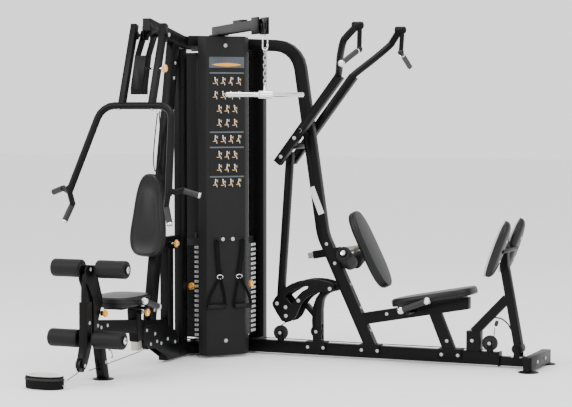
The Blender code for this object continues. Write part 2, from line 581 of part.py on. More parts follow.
PIN_ROW = PLATE_N - PLATE_UP
PIN_Z = PLATE_Z0 + PIN_ROW * PLATE_PITCH
for side, centre, turned in (("left", LEFT_STACK, False), ("right", RIGHT_STACK, True)):
    cx, cy = centre
    across = Vector((0, 1, 0)) if turned else Vector((1, 0, 0))
    out = Vector((1, 0, 0)) if turned else Vector((0, -1, 0))
    mid = Vector((cx, cy, 0))
    posts = [mid + across * ROD_OFF * s for s in (1, -1)]
    low_z, up = BEAM_TOP + GAP, Vector((0, 0, 1))
    node(f"{side}_guide_rods", "chrome",
         [bar(mid - across * 0.117 + up * (low_z + 0.005), mid + across * 0.117 + up * (low_z + 0.005),
              0.050, 0.010, across.cross(up))]
         + [rod(p + up * (low_z + 0.005), p + up * 1.872, ROD_R, 10) for p in posts]
         + [lathe(p + up * (low_z + 0.009), up, [(0, 0.019), (0.016, 0.019), (0.0200, 0.015)], 10) for p in posts]
         + [bar(mid - across * 0.112 + up * 1.871, mid + across * 0.112 + up * 1.871, 0.030, 0.010,
                across.cross(up))])
    holes = [rod(p + up * 0.05, p + up * 1.0, ROD_R + 0.0014, 10) for p in posts]
    node(f"{side}_rest_plates", "iron", [stack_solid(centre, 0, PIN_ROW - 1, turned)],
         cuts=holes + [rod(mid + up * 0.05, mid + up * 0.9, 0.0140, 10)])
    holes = [rod(p + up * 0.05, p + up * 1.0, ROD_R + 0.0014, 10) for p in posts]
    top_z = PLATE_Z0 + (PLATE_N - 0.5) * PLATE_PITCH - 0.0010
    hx, hy = (0.040, 0.112) if turned else (0.112, 0.040)
    node(f"{side}_lift_plates", "iron",
         [stack_solid(centre, PIN_ROW, PLATE_N - 1, turned),
          box(cx - hx, cx + hx, cy - hy, cy + hy, top_z, top_z + 0.036),
          rod(mid + up * 0.135, mid + up * (top_z + 0.070), 0.0110, 10)],
         cuts=holes + [rod(mid + up * PIN_Z - out * 0.022, mid + up * PIN_Z + out * 0.080, PIN_R + 0.0005)])
    face = mid + up * PIN_Z + out * (PLATE_DEEP / 2)
    node(f"{side}_select_pin", "knob",
         [rod(face - out * 0.070, face + out * 0.004, PIN_R),
          lathe(face + out * 0.0012, out, [(0, 0.010), (0.004, 0.013), (0.007, 0.0195), (0.020, 0.0205),
                                           (0.026, 0.0165)], 16)])

# ---- press station, moving pieces ----------------------------------------------------------------
LEG_END = Vector((0.320, -1.150, 1.034))


def mirrored(points, s):
    return [Vector((s * p[0], p[1], p[2])) for p in points]


press = [rod((-0.130, *PRESS_AXLE), (0.130, *PRESS_AXLE), 0.0100)]
press += [pipe(rounded([(-0.320, -1.150, 1.034), (-0.227, -0.915, 1.535), (0.227, -0.915, 1.535), LEG_END],
                       0.095, 4), 0.0215, 10)]
for s in (1, -1):
    press += [bar((s * 0.097, -0.7500, 2.010), (s * 0.097, -0.9140, 1.545), 0.036, 0.036, (1, 0, 0)),
              lathe((s * 0.077, *PRESS_AXLE), (s, 0, 0), [(0, 0.026), (0.041, 0.026)], 16)]
    e = LEG_END
    press += [pipe(mirrored([e + Vector((0.0, 0.0, 0.030)), e + Vector((0.030, 0.030, 0.012)),
                             e + Vector((0.062, 0.049, 0.026)), e + Vector((0.159, 0.086, -0.005))], s), 0.0160),
              pipe(mirrored([e + Vector((0.0, 0.0, 0.020)), e + Vector((-0.019, 0.010, -0.062)),
                             e + Vector((0.020, -0.023, -0.169))], s), 0.0165)]
PIN_AT = (-0.845, 1.750)
node("press_arm", "frame", press, cuts=[rod((0.06, *PIN_AT), (0.13, *PIN_AT), 0.0074)])
CHANNEL = [(-0.790, 1.972), (-0.735, 1.972), (-0.728, 1.930), (-0.798, 1.826), (-0.845, 1.650), (-0.848, 1.600),
           (-0.920, 1.600), (-0.923, 1.634), (-0.866, 1.826), (-0.805, 1.930)]
WEB = [(-0.9200, 1.600), (-0.9230, 1.634), (-0.8660, 1.826), (-0.8620, 1.826), (-0.9180, 1.634), (-0.9140, 1.600)]
node("press_carriage", "frame",
     [prism_yz(CHANNEL, s * 0.0325, s * 0.0375) for s in (1, -1)] + [prism_yz(WEB, -0.0360, 0.0360)],
     cuts=[rod((-0.1, *PRESS_AXLE), (0.1, *PRESS_AXLE), 0.0104),
           rod((0.02, *PIN_AT), (0.06, *PIN_AT), 0.0074)])
node("press_pin", "knob", [rod((0.0300, *PIN_AT), (0.1400, *PIN_AT), 0.0068),
                           knob_solid((0.1200, *PIN_AT), (1, 0, 0), 0.040, 0.0200)])

BACK_DIR = Vector((0, 0.066, 0.486)).normalized()
back_mid = Vector((0, -0.772, 0.892))
back_outline = [(a, b * (1 - 0.28 * (a / 0.245))) for a, b in oval(0.245, 0.098, 3.2)]
node("press_back", "vinyl", [pillow(back_mid, BACK_DIR, (1, 0, 0), back_outline, 0.0700, 0.020),
                             bar((0, -0.7700, SLIDE_Z), (0, -0.4500, SLIDE_Z), 0.0325, 0.0405, (1, 0, 0))])
node("press_back_pin", "knob", [rod((0.0168, PIN_Y, SLIDE_Z), (0.075, PIN_Y, SLIDE_Z), 0.0060),
                                knob_solid((0.0550, PIN_Y, SLIDE_Z), (1, 0, 0), 0.035)])
node("press_seat", "vinyl", [pillow((0, -1.120, 0.4300), (0, -1, 0), (1, 0, 0), oval(0.190, 0.140, 3.0), 0.0600)])
seat_grips = []
for s in (1, -1):
    seat_grips += [pipe([(0.0, -1.130, 0.3870), (s * 0.160, -1.130, 0.3870), (s * 0.198, -1.130, 0.4080)], 0.0100),
                   rod((s * 0.200, -1.215, 0.4380), (s * 0.200, -1.042, 0.3870), 0.0165, 14)]
node("press_seat_post", "steel",
     [bar(SEAT_LOW, SEAT_TOP, 0.0470, 0.0470, (1, 0, 0)), box(-0.060, 0.060, -1.220, -0.935, 0.3800, 0.3995)]
     + seat_grips)
node("press_seat_pin", "knob", [rod(pin_at + Vector((0.0240, 0, 0)), pin_at + Vector((0.080, 0, 0)), 0.0060),
                                knob_solid(pin_at + Vector((0.062, 0, 0)), (1, 0, 0), 0.035)])

# ---- row and leg press, moving pieces ------------------------------------------------------------
arms = [rod((ARM_AXLE[0], -0.150, ARM_AXLE[1]), (ARM_AXLE[0], 0.150, ARM_AXLE[1]), 0.0100),
        rod((ROD_TOP[0], -0.120, ROD_TOP[1]), (ROD_TOP[0], 0.120, ROD_TOP[1]), 0.0080),
        rod((0.636, -0.110, 1.290), (0.636, 0.110, 1.290), 0.0200, 14)]
for s in (1, -1):
    arms += [bar((0.545, s * 0.115, 1.187), (0.950, s * 0.115, 1.713), 0.048, 0.048, (0, 1, 0)),
             pipe([(0.912, s * 0.113, 1.680), (0.948, s * 0.134, 1.726), (1.018, s * 0.290, 1.823),
                   (1.078, s * 0.396, 1.904), (1.102, s * 0.400, 1.936), (1.156, s * 0.372, 2.002)], 0.0180),
             rod((1.129, s * 0.372, 2.000), (1.185, s * 0.372, 2.000), 0.0190),
             pipe([(1.172, s * 0.372, 2.000), (1.166, s * 0.363, 1.862), (1.145, s * 0.599, 1.774)], 0.0145)]
node("lat_arms", "frame", arms)
rod_dir = (Vector((ROD_LOW[0], 0, ROD_LOW[1])) - Vector((ROD_TOP[0], 0, ROD_TOP[1]))).normalized()
rod_a = Vector((ROD_TOP[0], 0, ROD_TOP[1])) - rod_dir * 0.026
rod_b = Vector((ROD_LOW[0], 0, ROD_LOW[1])) + rod_dir * 0.020
node("push_rod", "frame", [bar(rod_a, rod_b, 0.0420, 0.0420, (0, 1, 0))],
     cuts=[rod((ROD_TOP[0], -0.1, ROD_TOP[1]), (ROD_TOP[0], 0.1, ROD_TOP[1]), 0.0084)])
CAM = [(0.501, 0.355), (0.530, 0.387), (0.573, 0.424), (0.613, 0.447), (0.658, 0.464), (0.708, 0.475),
       (0.759, 0.478), (0.800, 0.476), (0.840, 0.469), (0.876, 0.458), (0.891, 0.440), (0.890, 0.419), (0.866, 0.401),
       (0.835, 0.4035), (0.799, 0.4035), (0.767, 0.396), (0.739, 0.381), (0.714, 0.365), (0.692, 0.345),
       (0.671, 0.315), (0.652, 0.270), (0.634, 0.238), (0.606, 0.214), (0.576, 0.205), (0.546, 0.215), (0.515, 0.258),
       (0.488, 0.301), (0.482, 0.322)]
CRESCENT = [(0.566, 0.367), (0.597, 0.388), (0.640, 0.415), (0.692, 0.434), (0.722, 0.434), (0.716, 0.421),
            (0.682, 0.402), (0.655, 0.376), (0.630, 0.345), (0.609, 0.318)]
node("cam_lever", "frame",
     [prism_xz(CAM, s * 0.0500, s * 0.0600) for s in (1, -1)]
     + [rod((x, -0.055, z), (x, 0.055, z), r) for x, z, r in
        ((*CAM_AXLE, 0.0100), (0.578, 0.300, 0.0090), (0.582, 0.247, 0.0090), (0.657, 0.3490, 0.0090))],
     cuts=[prism_xz(CRESCENT, -0.1, -0.0450), prism_xz(CRESCENT, 0.0450, 0.1)])

CHEST_DIR = Vector((0.4408, 0, -0.8976))
CHEST_OUT = Vector((0.8976, 0, 0.4408))
chest_mid = Vector((1.0740, 0, 0.6535)) + CHEST_OUT * 0.0280
node("chest_pad", "vinyl", [pillow(chest_mid, -CHEST_DIR, (0, 1, 0), oval(0.250, 0.104, 2.7), 0.0560, 0.018)])


def back_x(z):
    return 0.978 + 0.4911 * (0.849 - z)


node("chest_slide", "steel",
     [bar((0.703, 0, slide_z(0.703)), (1.046, 0, slide_z(1.046)), 0.0360, 0.0360, (0, 1, 0)),
      prism_xz([(back_x(0.735) - 0.0010, 0.735), (back_x(0.535) - 0.0010, 0.535), (back_x(0.535) - 0.016, 0.535),
                (back_x(0.735) - 0.016, 0.735)], -0.030, 0.030)])

POST = band(rounded([(2.0330, 0.1200), (1.9430, 0.6000), (1.9340, 0.8120)], 0.35, 4), 0.0240)
node("foot_lever", "frame",
     [prism_xz(POST, -HW, HW), bar((1.960, 0, 0.4060), (1.7610, 0, 0.2000), HW * 2, 0.0520, (0, 1, 0)),
      box(1.719, 1.803, -0.0300, 0.0300, BEAM_TOP + 0.0010, 0.2060),
      lathe((FOOT_AXLE[0], -0.0425, FOOT_AXLE[1]), (0, 1, 0), [(0, 0.0310), (0.085, 0.0310)], 18),
      box(1.950, 1.9680, -HW, HW, 0.675, 0.712), rod((1.9690, -0.155, 0.6930), (1.9690, 0.155, 0.6930), 0.0140, 14)],
     cuts=[rod((FOOT_AXLE[0], -0.1, FOOT_AXLE[1]), (FOOT_AXLE[0], 0.1, FOOT_AXLE[1]), 0.0129)])
TREAD_DIR = Vector((0.343, 0, 0.939)).normalized()
for side, s in (("near", -1), ("far", 1)):
    node(f"foot_plate_{side}", "pulley",
         [pillow((1.9370, s * 0.153, 0.7075), TREAD_DIR, (0, 1, 0), oval(0.176, 0.066, 2.4), 0.0280, 0.010)])

# ---- hanging and loose pieces --------------------------------------------------------------------
hang = Vector((0, 0, 0)) + diag(1.030, 0, 0)


def at(z, s=0.0):
    return hang + DIAG_S * s + Vector((0, 0, z))


def loop(top, low, half, wire):
    """A closed oval link in the vertical plane across the boom."""
    ring = []
    for k in range(12):
        a = 2 * math.pi * k / 12
        ring.append(at((top + low) / 2 + math.cos(a) * (top - low) / 2, math.sin(a) * half))
    rings = []
    n_out = DIAG_T
    for i, p in enumerate(ring):
        t = (ring[(i + 1) % 12] - ring[i - 1]).normalized()
        side_dir = t.cross(n_out)
        rings.append([p + wire * (math.cos(b) * side_dir + math.sin(b) * n_out)
                      for b in (2 * math.pi * j / 5 for j in range(5))])
    return faces_from(rings, loop=True)


node("lat_bar", "chrome",
     [rod(at(1.598, -0.239), at(1.598, 0.239), 0.0140, 14), rod(at(1.598, -0.040), at(1.598, 0.040), 0.0225, 16),
      rod(at(1.600), at(1.650), 0.0055, 8), loop(1.664, 1.640, 0.012, 0.0030), rod(at(1.655), at(1.862), 0.0050, 8),
      loop(1.930, 1.853, 0.018, 0.0040)])

for side, (hook_s, hook_z), ring_s, g0, g1 in (("near", HOOKS[0], -0.045, -0.132, -0.004),
                                               ("far", HOOKS[1], 0.080, 0.040, 0.164)):
    t, z0, z1, z2 = 0.3930, hook_z - 0.003, 0.4950, 0.3150
    node(f"strap_{side}", "web",
         [bar(diag(t, hook_s, z0), diag(t, ring_s, z1 - 0.004), 0.024, 0.0040, DIAG_S),
          bar(diag(t, ring_s, z1 + 0.004), diag(t, g0 + 0.010, z2), 0.020, 0.0036, DIAG_S),
          bar(diag(t, ring_s, z1 + 0.004), diag(t, g1 - 0.010, z2), 0.020, 0.0036, DIAG_S),
          rod(diag(t, g0, z2), diag(t, g1, z2), 0.0150, 14)])

CUFF = Vector((-0.130, -1.760, 0.0))
rings = []
for k in range(28):
    a = 2 * math.pi * k / 28
    c, s = math.cos(a), math.sin(a)
    rings.append([CUFF + Vector((c * rx, s * ry, z)) for rx, ry, z in
                  ((0.112, 0.060, 0.0005), (0.114, 0.062, 0.0680), (0.096, 0.044, 0.0730), (0.094, 0.042, 0.0005))])
node("ankle_cuff", "web", [faces_from(rings, loop=True), box(-0.032, 0.004, -1.7720, -1.7620, 0.034, 0.052)])

print("nodes", len(COLLECTION.objects))
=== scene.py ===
"""Looks of the two-station home gym: frame, upholstery, foam, labels, hardware, light and camera."""
import math

import bmesh
import bpy
from mathutils import Matrix, Vector


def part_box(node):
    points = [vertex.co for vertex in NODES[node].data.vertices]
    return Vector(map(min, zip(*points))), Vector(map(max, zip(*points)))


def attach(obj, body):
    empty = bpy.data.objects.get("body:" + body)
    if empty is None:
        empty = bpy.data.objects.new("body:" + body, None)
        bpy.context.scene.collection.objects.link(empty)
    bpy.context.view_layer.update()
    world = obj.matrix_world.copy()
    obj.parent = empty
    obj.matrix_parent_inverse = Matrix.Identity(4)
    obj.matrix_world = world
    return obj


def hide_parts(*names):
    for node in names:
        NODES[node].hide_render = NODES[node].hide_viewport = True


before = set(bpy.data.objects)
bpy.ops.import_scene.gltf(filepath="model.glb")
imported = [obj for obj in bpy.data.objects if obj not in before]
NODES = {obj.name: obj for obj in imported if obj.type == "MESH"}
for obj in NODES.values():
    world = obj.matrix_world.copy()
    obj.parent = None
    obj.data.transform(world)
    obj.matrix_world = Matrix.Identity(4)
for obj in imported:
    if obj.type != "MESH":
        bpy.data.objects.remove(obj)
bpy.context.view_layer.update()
DIAG = math.sqrt(0.5)
TUBE_HALF = 0.0254         # half the width of the frame's tubes


# ---- materials -----------------------------------------------------------------------------------
def material(name, colour, rough, metallic=0.0, grain=900.0, bump=0.05, mottle=0.12, rough_vary=0.08,
             coat=0.0, sheen=0.0, pattern="noise", spec=0.5):
    """A procedural finish: a colour with slight mottling, grain in its bump and in its roughness."""
    mat = bpy.data.materials.new(name)
    mat.use_nodes = True
    tree = mat.node_tree
    bsdf = tree.nodes["Principled BSDF"]
    bsdf.inputs["Metallic"].default_value = metallic
    bsdf.inputs["Specular IOR Level"].default_value = spec
    bsdf.inputs["Coat Weight"].default_value = coat
    bsdf.inputs["Coat Roughness"].default_value = 0.15
    bsdf.inputs["Sheen Weight"].default_value = sheen
    coords = tree.nodes.new("ShaderNodeTexCoord")
    wide = tree.nodes.new("ShaderNodeTexNoise")
    wide.inputs["Scale"].default_value = 14.0
    wide.inputs["Detail"].default_value = 4.0
    tree.links.new(coords.outputs["Object"], wide.inputs["Vector"])
    ramp = tree.nodes.new("ShaderNodeValToRGB")
    ramp.color_ramp.elements[0].position = 0.3
    ramp.color_ramp.elements[1].position = 0.7
    ramp.color_ramp.elements[0].color = (*[c * (1 - mottle) for c in colour], 1)
    ramp.color_ramp.elements[1].color = (*[min(1.0, c * (1 + mottle)) for c in colour], 1)
    tree.links.new(wide.outputs["Fac"], ramp.inputs["Fac"])
    tree.links.new(ramp.outputs["Color"], bsdf.inputs["Base Color"])
    kind = "ShaderNodeTexVoronoi" if pattern == "leather" else "ShaderNodeTexNoise"
    fine = tree.nodes.new(kind)
    fine.inputs["Scale"].default_value = grain
    tree.links.new(coords.outputs["Object"], fine.inputs["Vector"])
    height = fine.outputs["Distance"] if pattern == "leather" else fine.outputs["Fac"]
    span = tree.nodes.new("ShaderNodeMapRange")
    span.inputs["To Min"].default_value = max(0.02, rough - rough_vary)
    span.inputs["To Max"].default_value = min(1.0, rough + rough_vary)
    tree.links.new(height, span.inputs["Value"])
    tree.links.new(span.outputs["Result"], bsdf.inputs["Roughness"])
    relief = tree.nodes.new("ShaderNodeBump")
    relief.inputs["Strength"].default_value = bump
    relief.inputs["Distance"].default_value = 0.0006
    tree.links.new(height, relief.inputs["Height"])
    tree.links.new(relief.outputs["Normal"], bsdf.inputs["Normal"])
    return mat


def weave(name, colour, scale, rough=0.9):
    """Woven webbing: two crossed wave textures drive the bump and darken the gaps with painted shade."""
    mat = bpy.data.materials.new(name)
    mat.use_nodes = True
    tree = mat.node_tree
    bsdf = tree.nodes["Principled BSDF"]
    bsdf.inputs["Roughness"].default_value = rough
    bsdf.inputs["Specular IOR Level"].default_value = 0.2
    coords = tree.nodes.new("ShaderNodeTexCoord")
    waves = []
    for way in ("X", "Z"):
        wave = tree.nodes.new("ShaderNodeTexWave")
        wave.bands_direction = way
        wave.inputs["Scale"].default_value = scale
        tree.links.new(coords.outputs["Object"], wave.inputs["Vector"])
        waves.append(wave)
    mix = tree.nodes.new("ShaderNodeMath")
    mix.operation = "MULTIPLY"
    tree.links.new(waves[0].outputs["Fac"], mix.inputs[0])
    tree.links.new(waves[1].outputs["Fac"], mix.inputs[1])
    ramp = tree.nodes.new("ShaderNodeValToRGB")
    # painted shade: the gaps between threads, low in the bump, get 0.6 of the colour
    ramp.color_ramp.elements[0].color = (*[c * 0.6 for c in colour], 1)
    ramp.color_ramp.elements[1].color = (*colour, 1)
    tree.links.new(mix.outputs[0], ramp.inputs["Fac"])
    tree.links.new(ramp.outputs["Color"], bsdf.inputs["Base Color"])
    relief = tree.nodes.new("ShaderNodeBump")
    relief.inputs["Strength"].default_value = 0.4
    relief.inputs["Distance"].default_value = 0.0008
    tree.links.new(mix.outputs[0], relief.inputs["Height"])
    tree.links.new(relief.outputs["Normal"], bsdf.inputs["Normal"])
    return mat


MAT = {
    "frame": material("powder_coat", (0.0020, 0.0020, 0.0021), 0.40, grain=1400, bump=0.10, spec=0.13),
    "shroud": material("shroud_coat", (0.0105, 0.0105, 0.0108), 0.52, grain=1700, bump=0.35, mottle=0.05,
                       spec=0.15),
    "vinyl": material("vinyl", (0.0042, 0.0042, 0.0047), 0.40, grain=520, bump=0.22, pattern="leather",
                      spec=0.28),
    "foam": material("foam", (0.0040, 0.0040, 0.0042), 0.55, grain=1500, bump=0.30, spec=0.22),
    "grip": material("grip", (0.0045, 0.0045, 0.0045), 0.50, grain=700, bump=0.35, pattern="leather"),
    "chrome": material("chrome", (0.80, 0.80, 0.82), 0.12, metallic=1.0, grain=300, bump=0.01, mottle=0.03,
                       rough_vary=0.05),
    "nickel": material("nickel", (0.50, 0.47, 0.43), 0.32, metallic=1.0, grain=500, bump=0.03, mottle=0.06),
    "iron": material("plate_paint", (0.0110, 0.0115, 0.0120), 0.42, grain=600, bump=0.12, mottle=0.10,
                     spec=0.3),
    "knob": material("knob_yellow", (0.88, 0.36, 0.003), 0.38, grain=300, bump=0.02, mottle=0.05, spec=0.3),
    "plastic": material("black_plastic", (0.0040, 0.0040, 0.0040), 0.36, grain=900, bump=0.06, spec=0.3),
    # a black material for the cuff strap, and also the painted shade of every peg hole on the stacks
    "rubber": material("rubber", (0.0040, 0.0040, 0.0040), 0.75, grain=800, bump=0.25),
    "label": material("label_white", (0.66, 0.67, 0.68), 0.45, grain=800, bump=0.02, mottle=0.03),
    "mark": material("mark_grey", (0.11, 0.12, 0.13), 0.5, grain=800, bump=0.01, mottle=0.05),
    "silver": material("plate_grey", (0.42, 0.43, 0.44), 0.42, metallic=0.3, grain=700, bump=0.05,
                       mottle=0.08),
    "chart": material("chart_black", (0.0035, 0.0035, 0.0040), 0.45, grain=900, bump=0.02, mottle=0.05,
                      spec=0.2),
    "header": material("chart_header", (0.045, 0.055, 0.072), 0.40, grain=900, bump=0.02, mottle=0.25),
    "bar": material("chart_bar", (0.070, 0.080, 0.100), 0.45, grain=900, bump=0.01, mottle=0.10),
    "amber": material("chart_amber", (0.80, 0.36, 0.010), 0.55, grain=900, bump=0.01, mottle=0.10),
    "web": weave("webbing", (0.0028, 0.0028, 0.0030), 190.0),
    "fleece": material("fleece", (0.72, 0.71, 0.69), 0.95, grain=260, bump=0.9, mottle=0.10, sheen=0.5),
    "cable": material("cable", (0.0070, 0.0070, 0.0075), 0.35, grain=900, bump=0.04),
    "wire": material("steel_wire", (0.45, 0.45, 0.46), 0.35, metallic=1.0, grain=900, bump=0.05),
}


# ---- mesh helpers --------------------------------------------------------------------------------
def soften(obj, angle=40.0):
    """Smooth shading, with edges over an angle in degrees kept sharp."""
    obj.data.shade_smooth()
    obj.data.set_sharp_from_angle(angle=math.radians(angle))


def piece(name, bm, mat, body, angle=40.0, replaces=()):
    """A finished piece: normals outward, smooth, in its material, riding on its body."""
    bmesh.ops.recalc_face_normals(bm, faces=bm.faces)
    mesh = bpy.data.meshes.new(name)
    bm.to_mesh(mesh)
    bm.free()
    obj = bpy.data.objects.new(name, mesh)
    bpy.context.scene.collection.objects.link(obj)
    obj.data.materials.append(MAT[mat])
    soften(obj, angle)
    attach(obj, body)
    if replaces:
        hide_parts(*replaces)
    return obj


def add_rings(bm, rings, closed=True, loop=False):
    """Faces between rings of equal length, capped at both ends, or joined end to start for a loop."""
    rows = [[bm.verts.new(p) for p in ring] for ring in rings]
    n = len(rows[0])
    for i in range(len(rows) if loop else len(rows) - 1):
        a, b = rows[i], rows[(i + 1) % len(rows)]
        for j in range(n):
            k = (j + 1) % n
            bm.faces.new((a[j], a[k], b[k], b[j]))
    if closed and not loop:
        bm.faces.new(list(reversed(rows[0])))
        bm.faces.new(rows[-1])


def axes_of(direction):
    """A direction as a unit vector, and two more at right angles to it."""
    d = Vector(direction).normalized()
    side = Vector((0, 0, 1)).cross(d)
    if side.length < 1e-6:
        side = Vector((1, 0, 0))
    side.normalize()
    return d, side, d.cross(side)


def add_lathe(bm, start, direction, profile, n=28):
    """A solid turned about an axis, from (distance along it, radius) pairs."""
    a = Vector(start)
    d, side, up = axes_of(direction)
    add_rings(bm, [[a + s * d + r * (math.cos(t) * side + math.sin(t) * up)
                    for t in (2 * math.pi * k / n for k in range(n))] for s, r in profile])


def add_turned_ring(bm, start, direction, profile, n=32):
    """A closed profile of (distance along, radius) pairs swept round an axis: a wheel or a sleeve."""
    a = Vector(start)
    d, side, up = axes_of(direction)
    rings = []
    for k in range(n):
        t = 2 * math.pi * k / n
        out = math.cos(t) * side + math.sin(t) * up
        rings.append([a + s * d + r * out for s, r in profile])
    add_rings(bm, rings, loop=True)


def add_box(bm, centre, sizes, rot=None):
    """A box about a centre, turned by a 3 x 3 matrix if one is given."""
    m = Matrix.Translation(Vector(centre)) @ (rot.to_4x4() if rot else Matrix.Identity(4))
    bmesh.ops.create_cube(bm, size=1.0, matrix=m @ Matrix.Diagonal((*sizes, 1.0)))


def smooth_path(points, steps=6):
    """A Catmull-Rom curve through the points."""
    pts = [Vector(p) for p in points]
    ends = [2 * pts[0] - pts[1], *pts, 2 * pts[-1] - pts[-2]]
    out = []
    for i in range(1, len(ends) - 2):
        p0, p1, p2, p3 = ends[i - 1:i + 3]
        for k in range(steps):
            t = k / steps
            out.append(0.5 * ((2 * p1) + (p2 - p0) * t + (2 * p0 - 5 * p1 + 4 * p2 - p3) * t * t
                              + (3 * p1 - p0 - 3 * p2 + p3) * t ** 3))
    out.append(pts[-1])
    return out


def rounded(points, radius, steps=6):
    """Straight runs joined by arcs."""
    pts = [Vector(p) for p in points]
    out = [pts[0]]
    for i in range(1, len(pts) - 1):
        r = radius[i - 1] if isinstance(radius, (list, tuple)) else radius
        p, a, b = pts[i], pts[i - 1], pts[i + 1]
        da, db = (a - p).normalized(), (b - p).normalized()
        half = math.acos(max(-1.0, min(1.0, da.dot(db)))) / 2
        reach = r / math.tan(half)
        start, end = p + da * reach, p + db * reach
        centre = p + (da + db).normalized() * (r / math.sin(half))
        va, vb = start - centre, end - centre
        whole = va.angle(vb)
        for k in range(steps + 1):
            f = k / steps
            out.append(centre + (math.sin((1 - f) * whole) * va + math.sin(f * whole) * vb) / math.sin(whole))
    out.append(pts[-1])
    return out


def add_tube(bm, path, radius, n=16):
    """A round tube along a path, its rings turned without twist."""
    pts = [Vector(p) for p in path]
    d, side, up = axes_of(pts[1] - pts[0])
    rings = []
    for i, p in enumerate(pts):
        if i == 0:
            t = (pts[1] - pts[0]).normalized()
        elif i == len(pts) - 1:
            t = (pts[-1] - pts[-2]).normalized()
        else:
            t = ((p - pts[i - 1]).normalized() + (pts[i + 1] - p).normalized()).normalized()
        turn = d.rotation_difference(t)
        side, up, d = turn @ side, turn @ up, t
        rings.append([p + radius * (math.cos(a) * side + math.sin(a) * up)
                      for a in (2 * math.pi * k / n for k in range(n))])
    add_rings(bm, rings)


def add_bar(bm, start, end, wide, deep, wide_axis, edge=0.003):
    """A rectangular tube with rounded corners, capped flat at both ends."""
    a, b = Vector(start), Vector(end)
    d = (b - a).normalized()
    w = Vector(wide_axis)
    w = (w - w.dot(d) * d).normalized()
    u = d.cross(w)
    corner = []
    for sx, sy, start_a in ((1, 1, 0), (-1, 1, 90), (-1, -1, 180), (1, -1, 270)):
        for k in range(4):
            t = math.radians(start_a + 30 * k)
            corner.append((sx * (wide / 2 - edge) + edge * math.cos(t),
                           sy * (deep / 2 - edge) + edge * math.sin(t)))
    add_rings(bm, [[p + x * w + y * u for x, y in corner] for p in (a, b)])


def diag(t, s, z):
    """t along the diagonal away from the tower, s across it."""
    return Vector((DIAG * (t + s), DIAG * (s - t), z))


DIAG_T, DIAG_S, UP = diag(1, 0, 0), diag(0, 1, 0), Vector((0, 0, 1))
CHROME_CAP = [(0, 1.0), (0.10, 1.0), (0.22, 0.94), (0.31, 0.80), (0.36, 0.55), (0.38, 0.15)]


def ball(radius):
    """A knob end: most of a ball, cut square where it meets the grip."""
    angles = [math.radians(130 - 12.5 * k) for k in range(11)]
    return [(radius * math.cos(a), radius * math.sin(a)) for a in angles]


# ---- frame tubes from the CAD --------------------------------------------------------------------
BEVELS = {"shroud": 0.0008, "left_gusset": 0.0012, "cam_lever": 0.0015, "left_rest_plates": 0.0006,
          "right_rest_plates": 0.0006, "left_lift_plates": 0.0006, "right_lift_plates": 0.0006,
          "left_guide_rods": 0.0008, "right_guide_rods": 0.0008, "chest_slide": 0.0015,
          "press_carriage": 0.0010, "press_seat_post": 0.0012}
FINISH = {"shroud": "shroud", "left_guide_rods": "chrome", "right_guide_rods": "chrome",
          "left_rest_plates": "iron", "right_rest_plates": "iron", "left_lift_plates": "iron",
          "right_lift_plates": "iron", "chest_slide": "nickel"}
for name, obj in NODES.items():
    weld = obj.modifiers.new("weld", "WELD")
    weld.merge_threshold = 0.00002
    bevel = obj.modifiers.new("edges", "BEVEL")
    bevel.width = BEVELS.get(name, 0.0026)
    bevel.segments = 2
    bevel.limit_method = "ANGLE"
    bevel.angle_limit = math.radians(38)
    bevel.use_clamp_overlap = True
    obj.data.shade_smooth()
    obj.data.set_sharp_from_angle(angle=math.radians(50))
    obj.data.materials.clear()
    obj.data.materials.append(MAT[FINISH.get(name, "frame")])


# ---- upholstery ----------------------------------------------------------------------------------
def outline(half_long, half_wide, power=3.0, n=48, taper=0.0):
    """A superellipse: a rounded rectangle, squarer with power, narrower at one end with taper."""
    out = []
    for k in range(n):
        a = 2 * math.pi * k / n
        c, s = math.cos(a), math.sin(a)
        u = math.copysign(abs(c) ** (2 / power), c)
        v = math.copysign(abs(s) ** (2 / power), s)
        out.append((half_long * u, half_wide * v * (1 - taper * u)))
    return out


def cushion(name, centre, long_dir, wide_dir, shape, thick, front, body, node, crown=0.006, seam=0.32):
    """A crowned pad: flat backing board, rolled sides with a sewn seam, swelling face. front is +1 or -1."""
    c, u, v = Vector(centre), Vector(long_dir).normalized(), Vector(wide_dir).normalized()
    w = u.cross(v) * front
    half = thick / 2
    size = min(max(abs(a) for a, _ in shape), max(abs(b) for _, b in shape))
    levels = [(-half + 0.000, 0.013), (-half + 0.001, 0.006), (-half + 0.006, 0.0015),
              (-half + thick * 0.30, 0.0), (-half + thick * seam, 0.0002),
              (-half + thick * (seam + 0.030), 0.0030), (-half + thick * (seam + 0.060), 0.0004),
              (half - thick * 0.30, 0.0015), (half - thick * 0.16, 0.0060), (half - thick * 0.07, 0.0140),
              (half - crown, 0.0270), (half - crown * 0.55, 0.0450), (half - crown * 0.22, size * 0.62),
              (half, size * 0.86)]
    bm = bmesh.new()
    rings = []
    for h, inset in levels:
        ring = []
        for a, b in shape:
            r = math.hypot(a, b)
            k = max(0.04, 1 - inset / max(1e-6, r)) if inset < 0.03 else max(0.04, 1 - inset / size)
            ring.append(c + u * a * k + v * b * k + w * h)
        rings.append(ring)
    add_rings(bm, rings)
    obj = piece(name, bm, "vinyl", body, 60, (node,))
    return obj


def rail_z(x):
    """Height of the sloping seat rail at x."""
    return 0.275 + 0.185 * (x - 1.215)


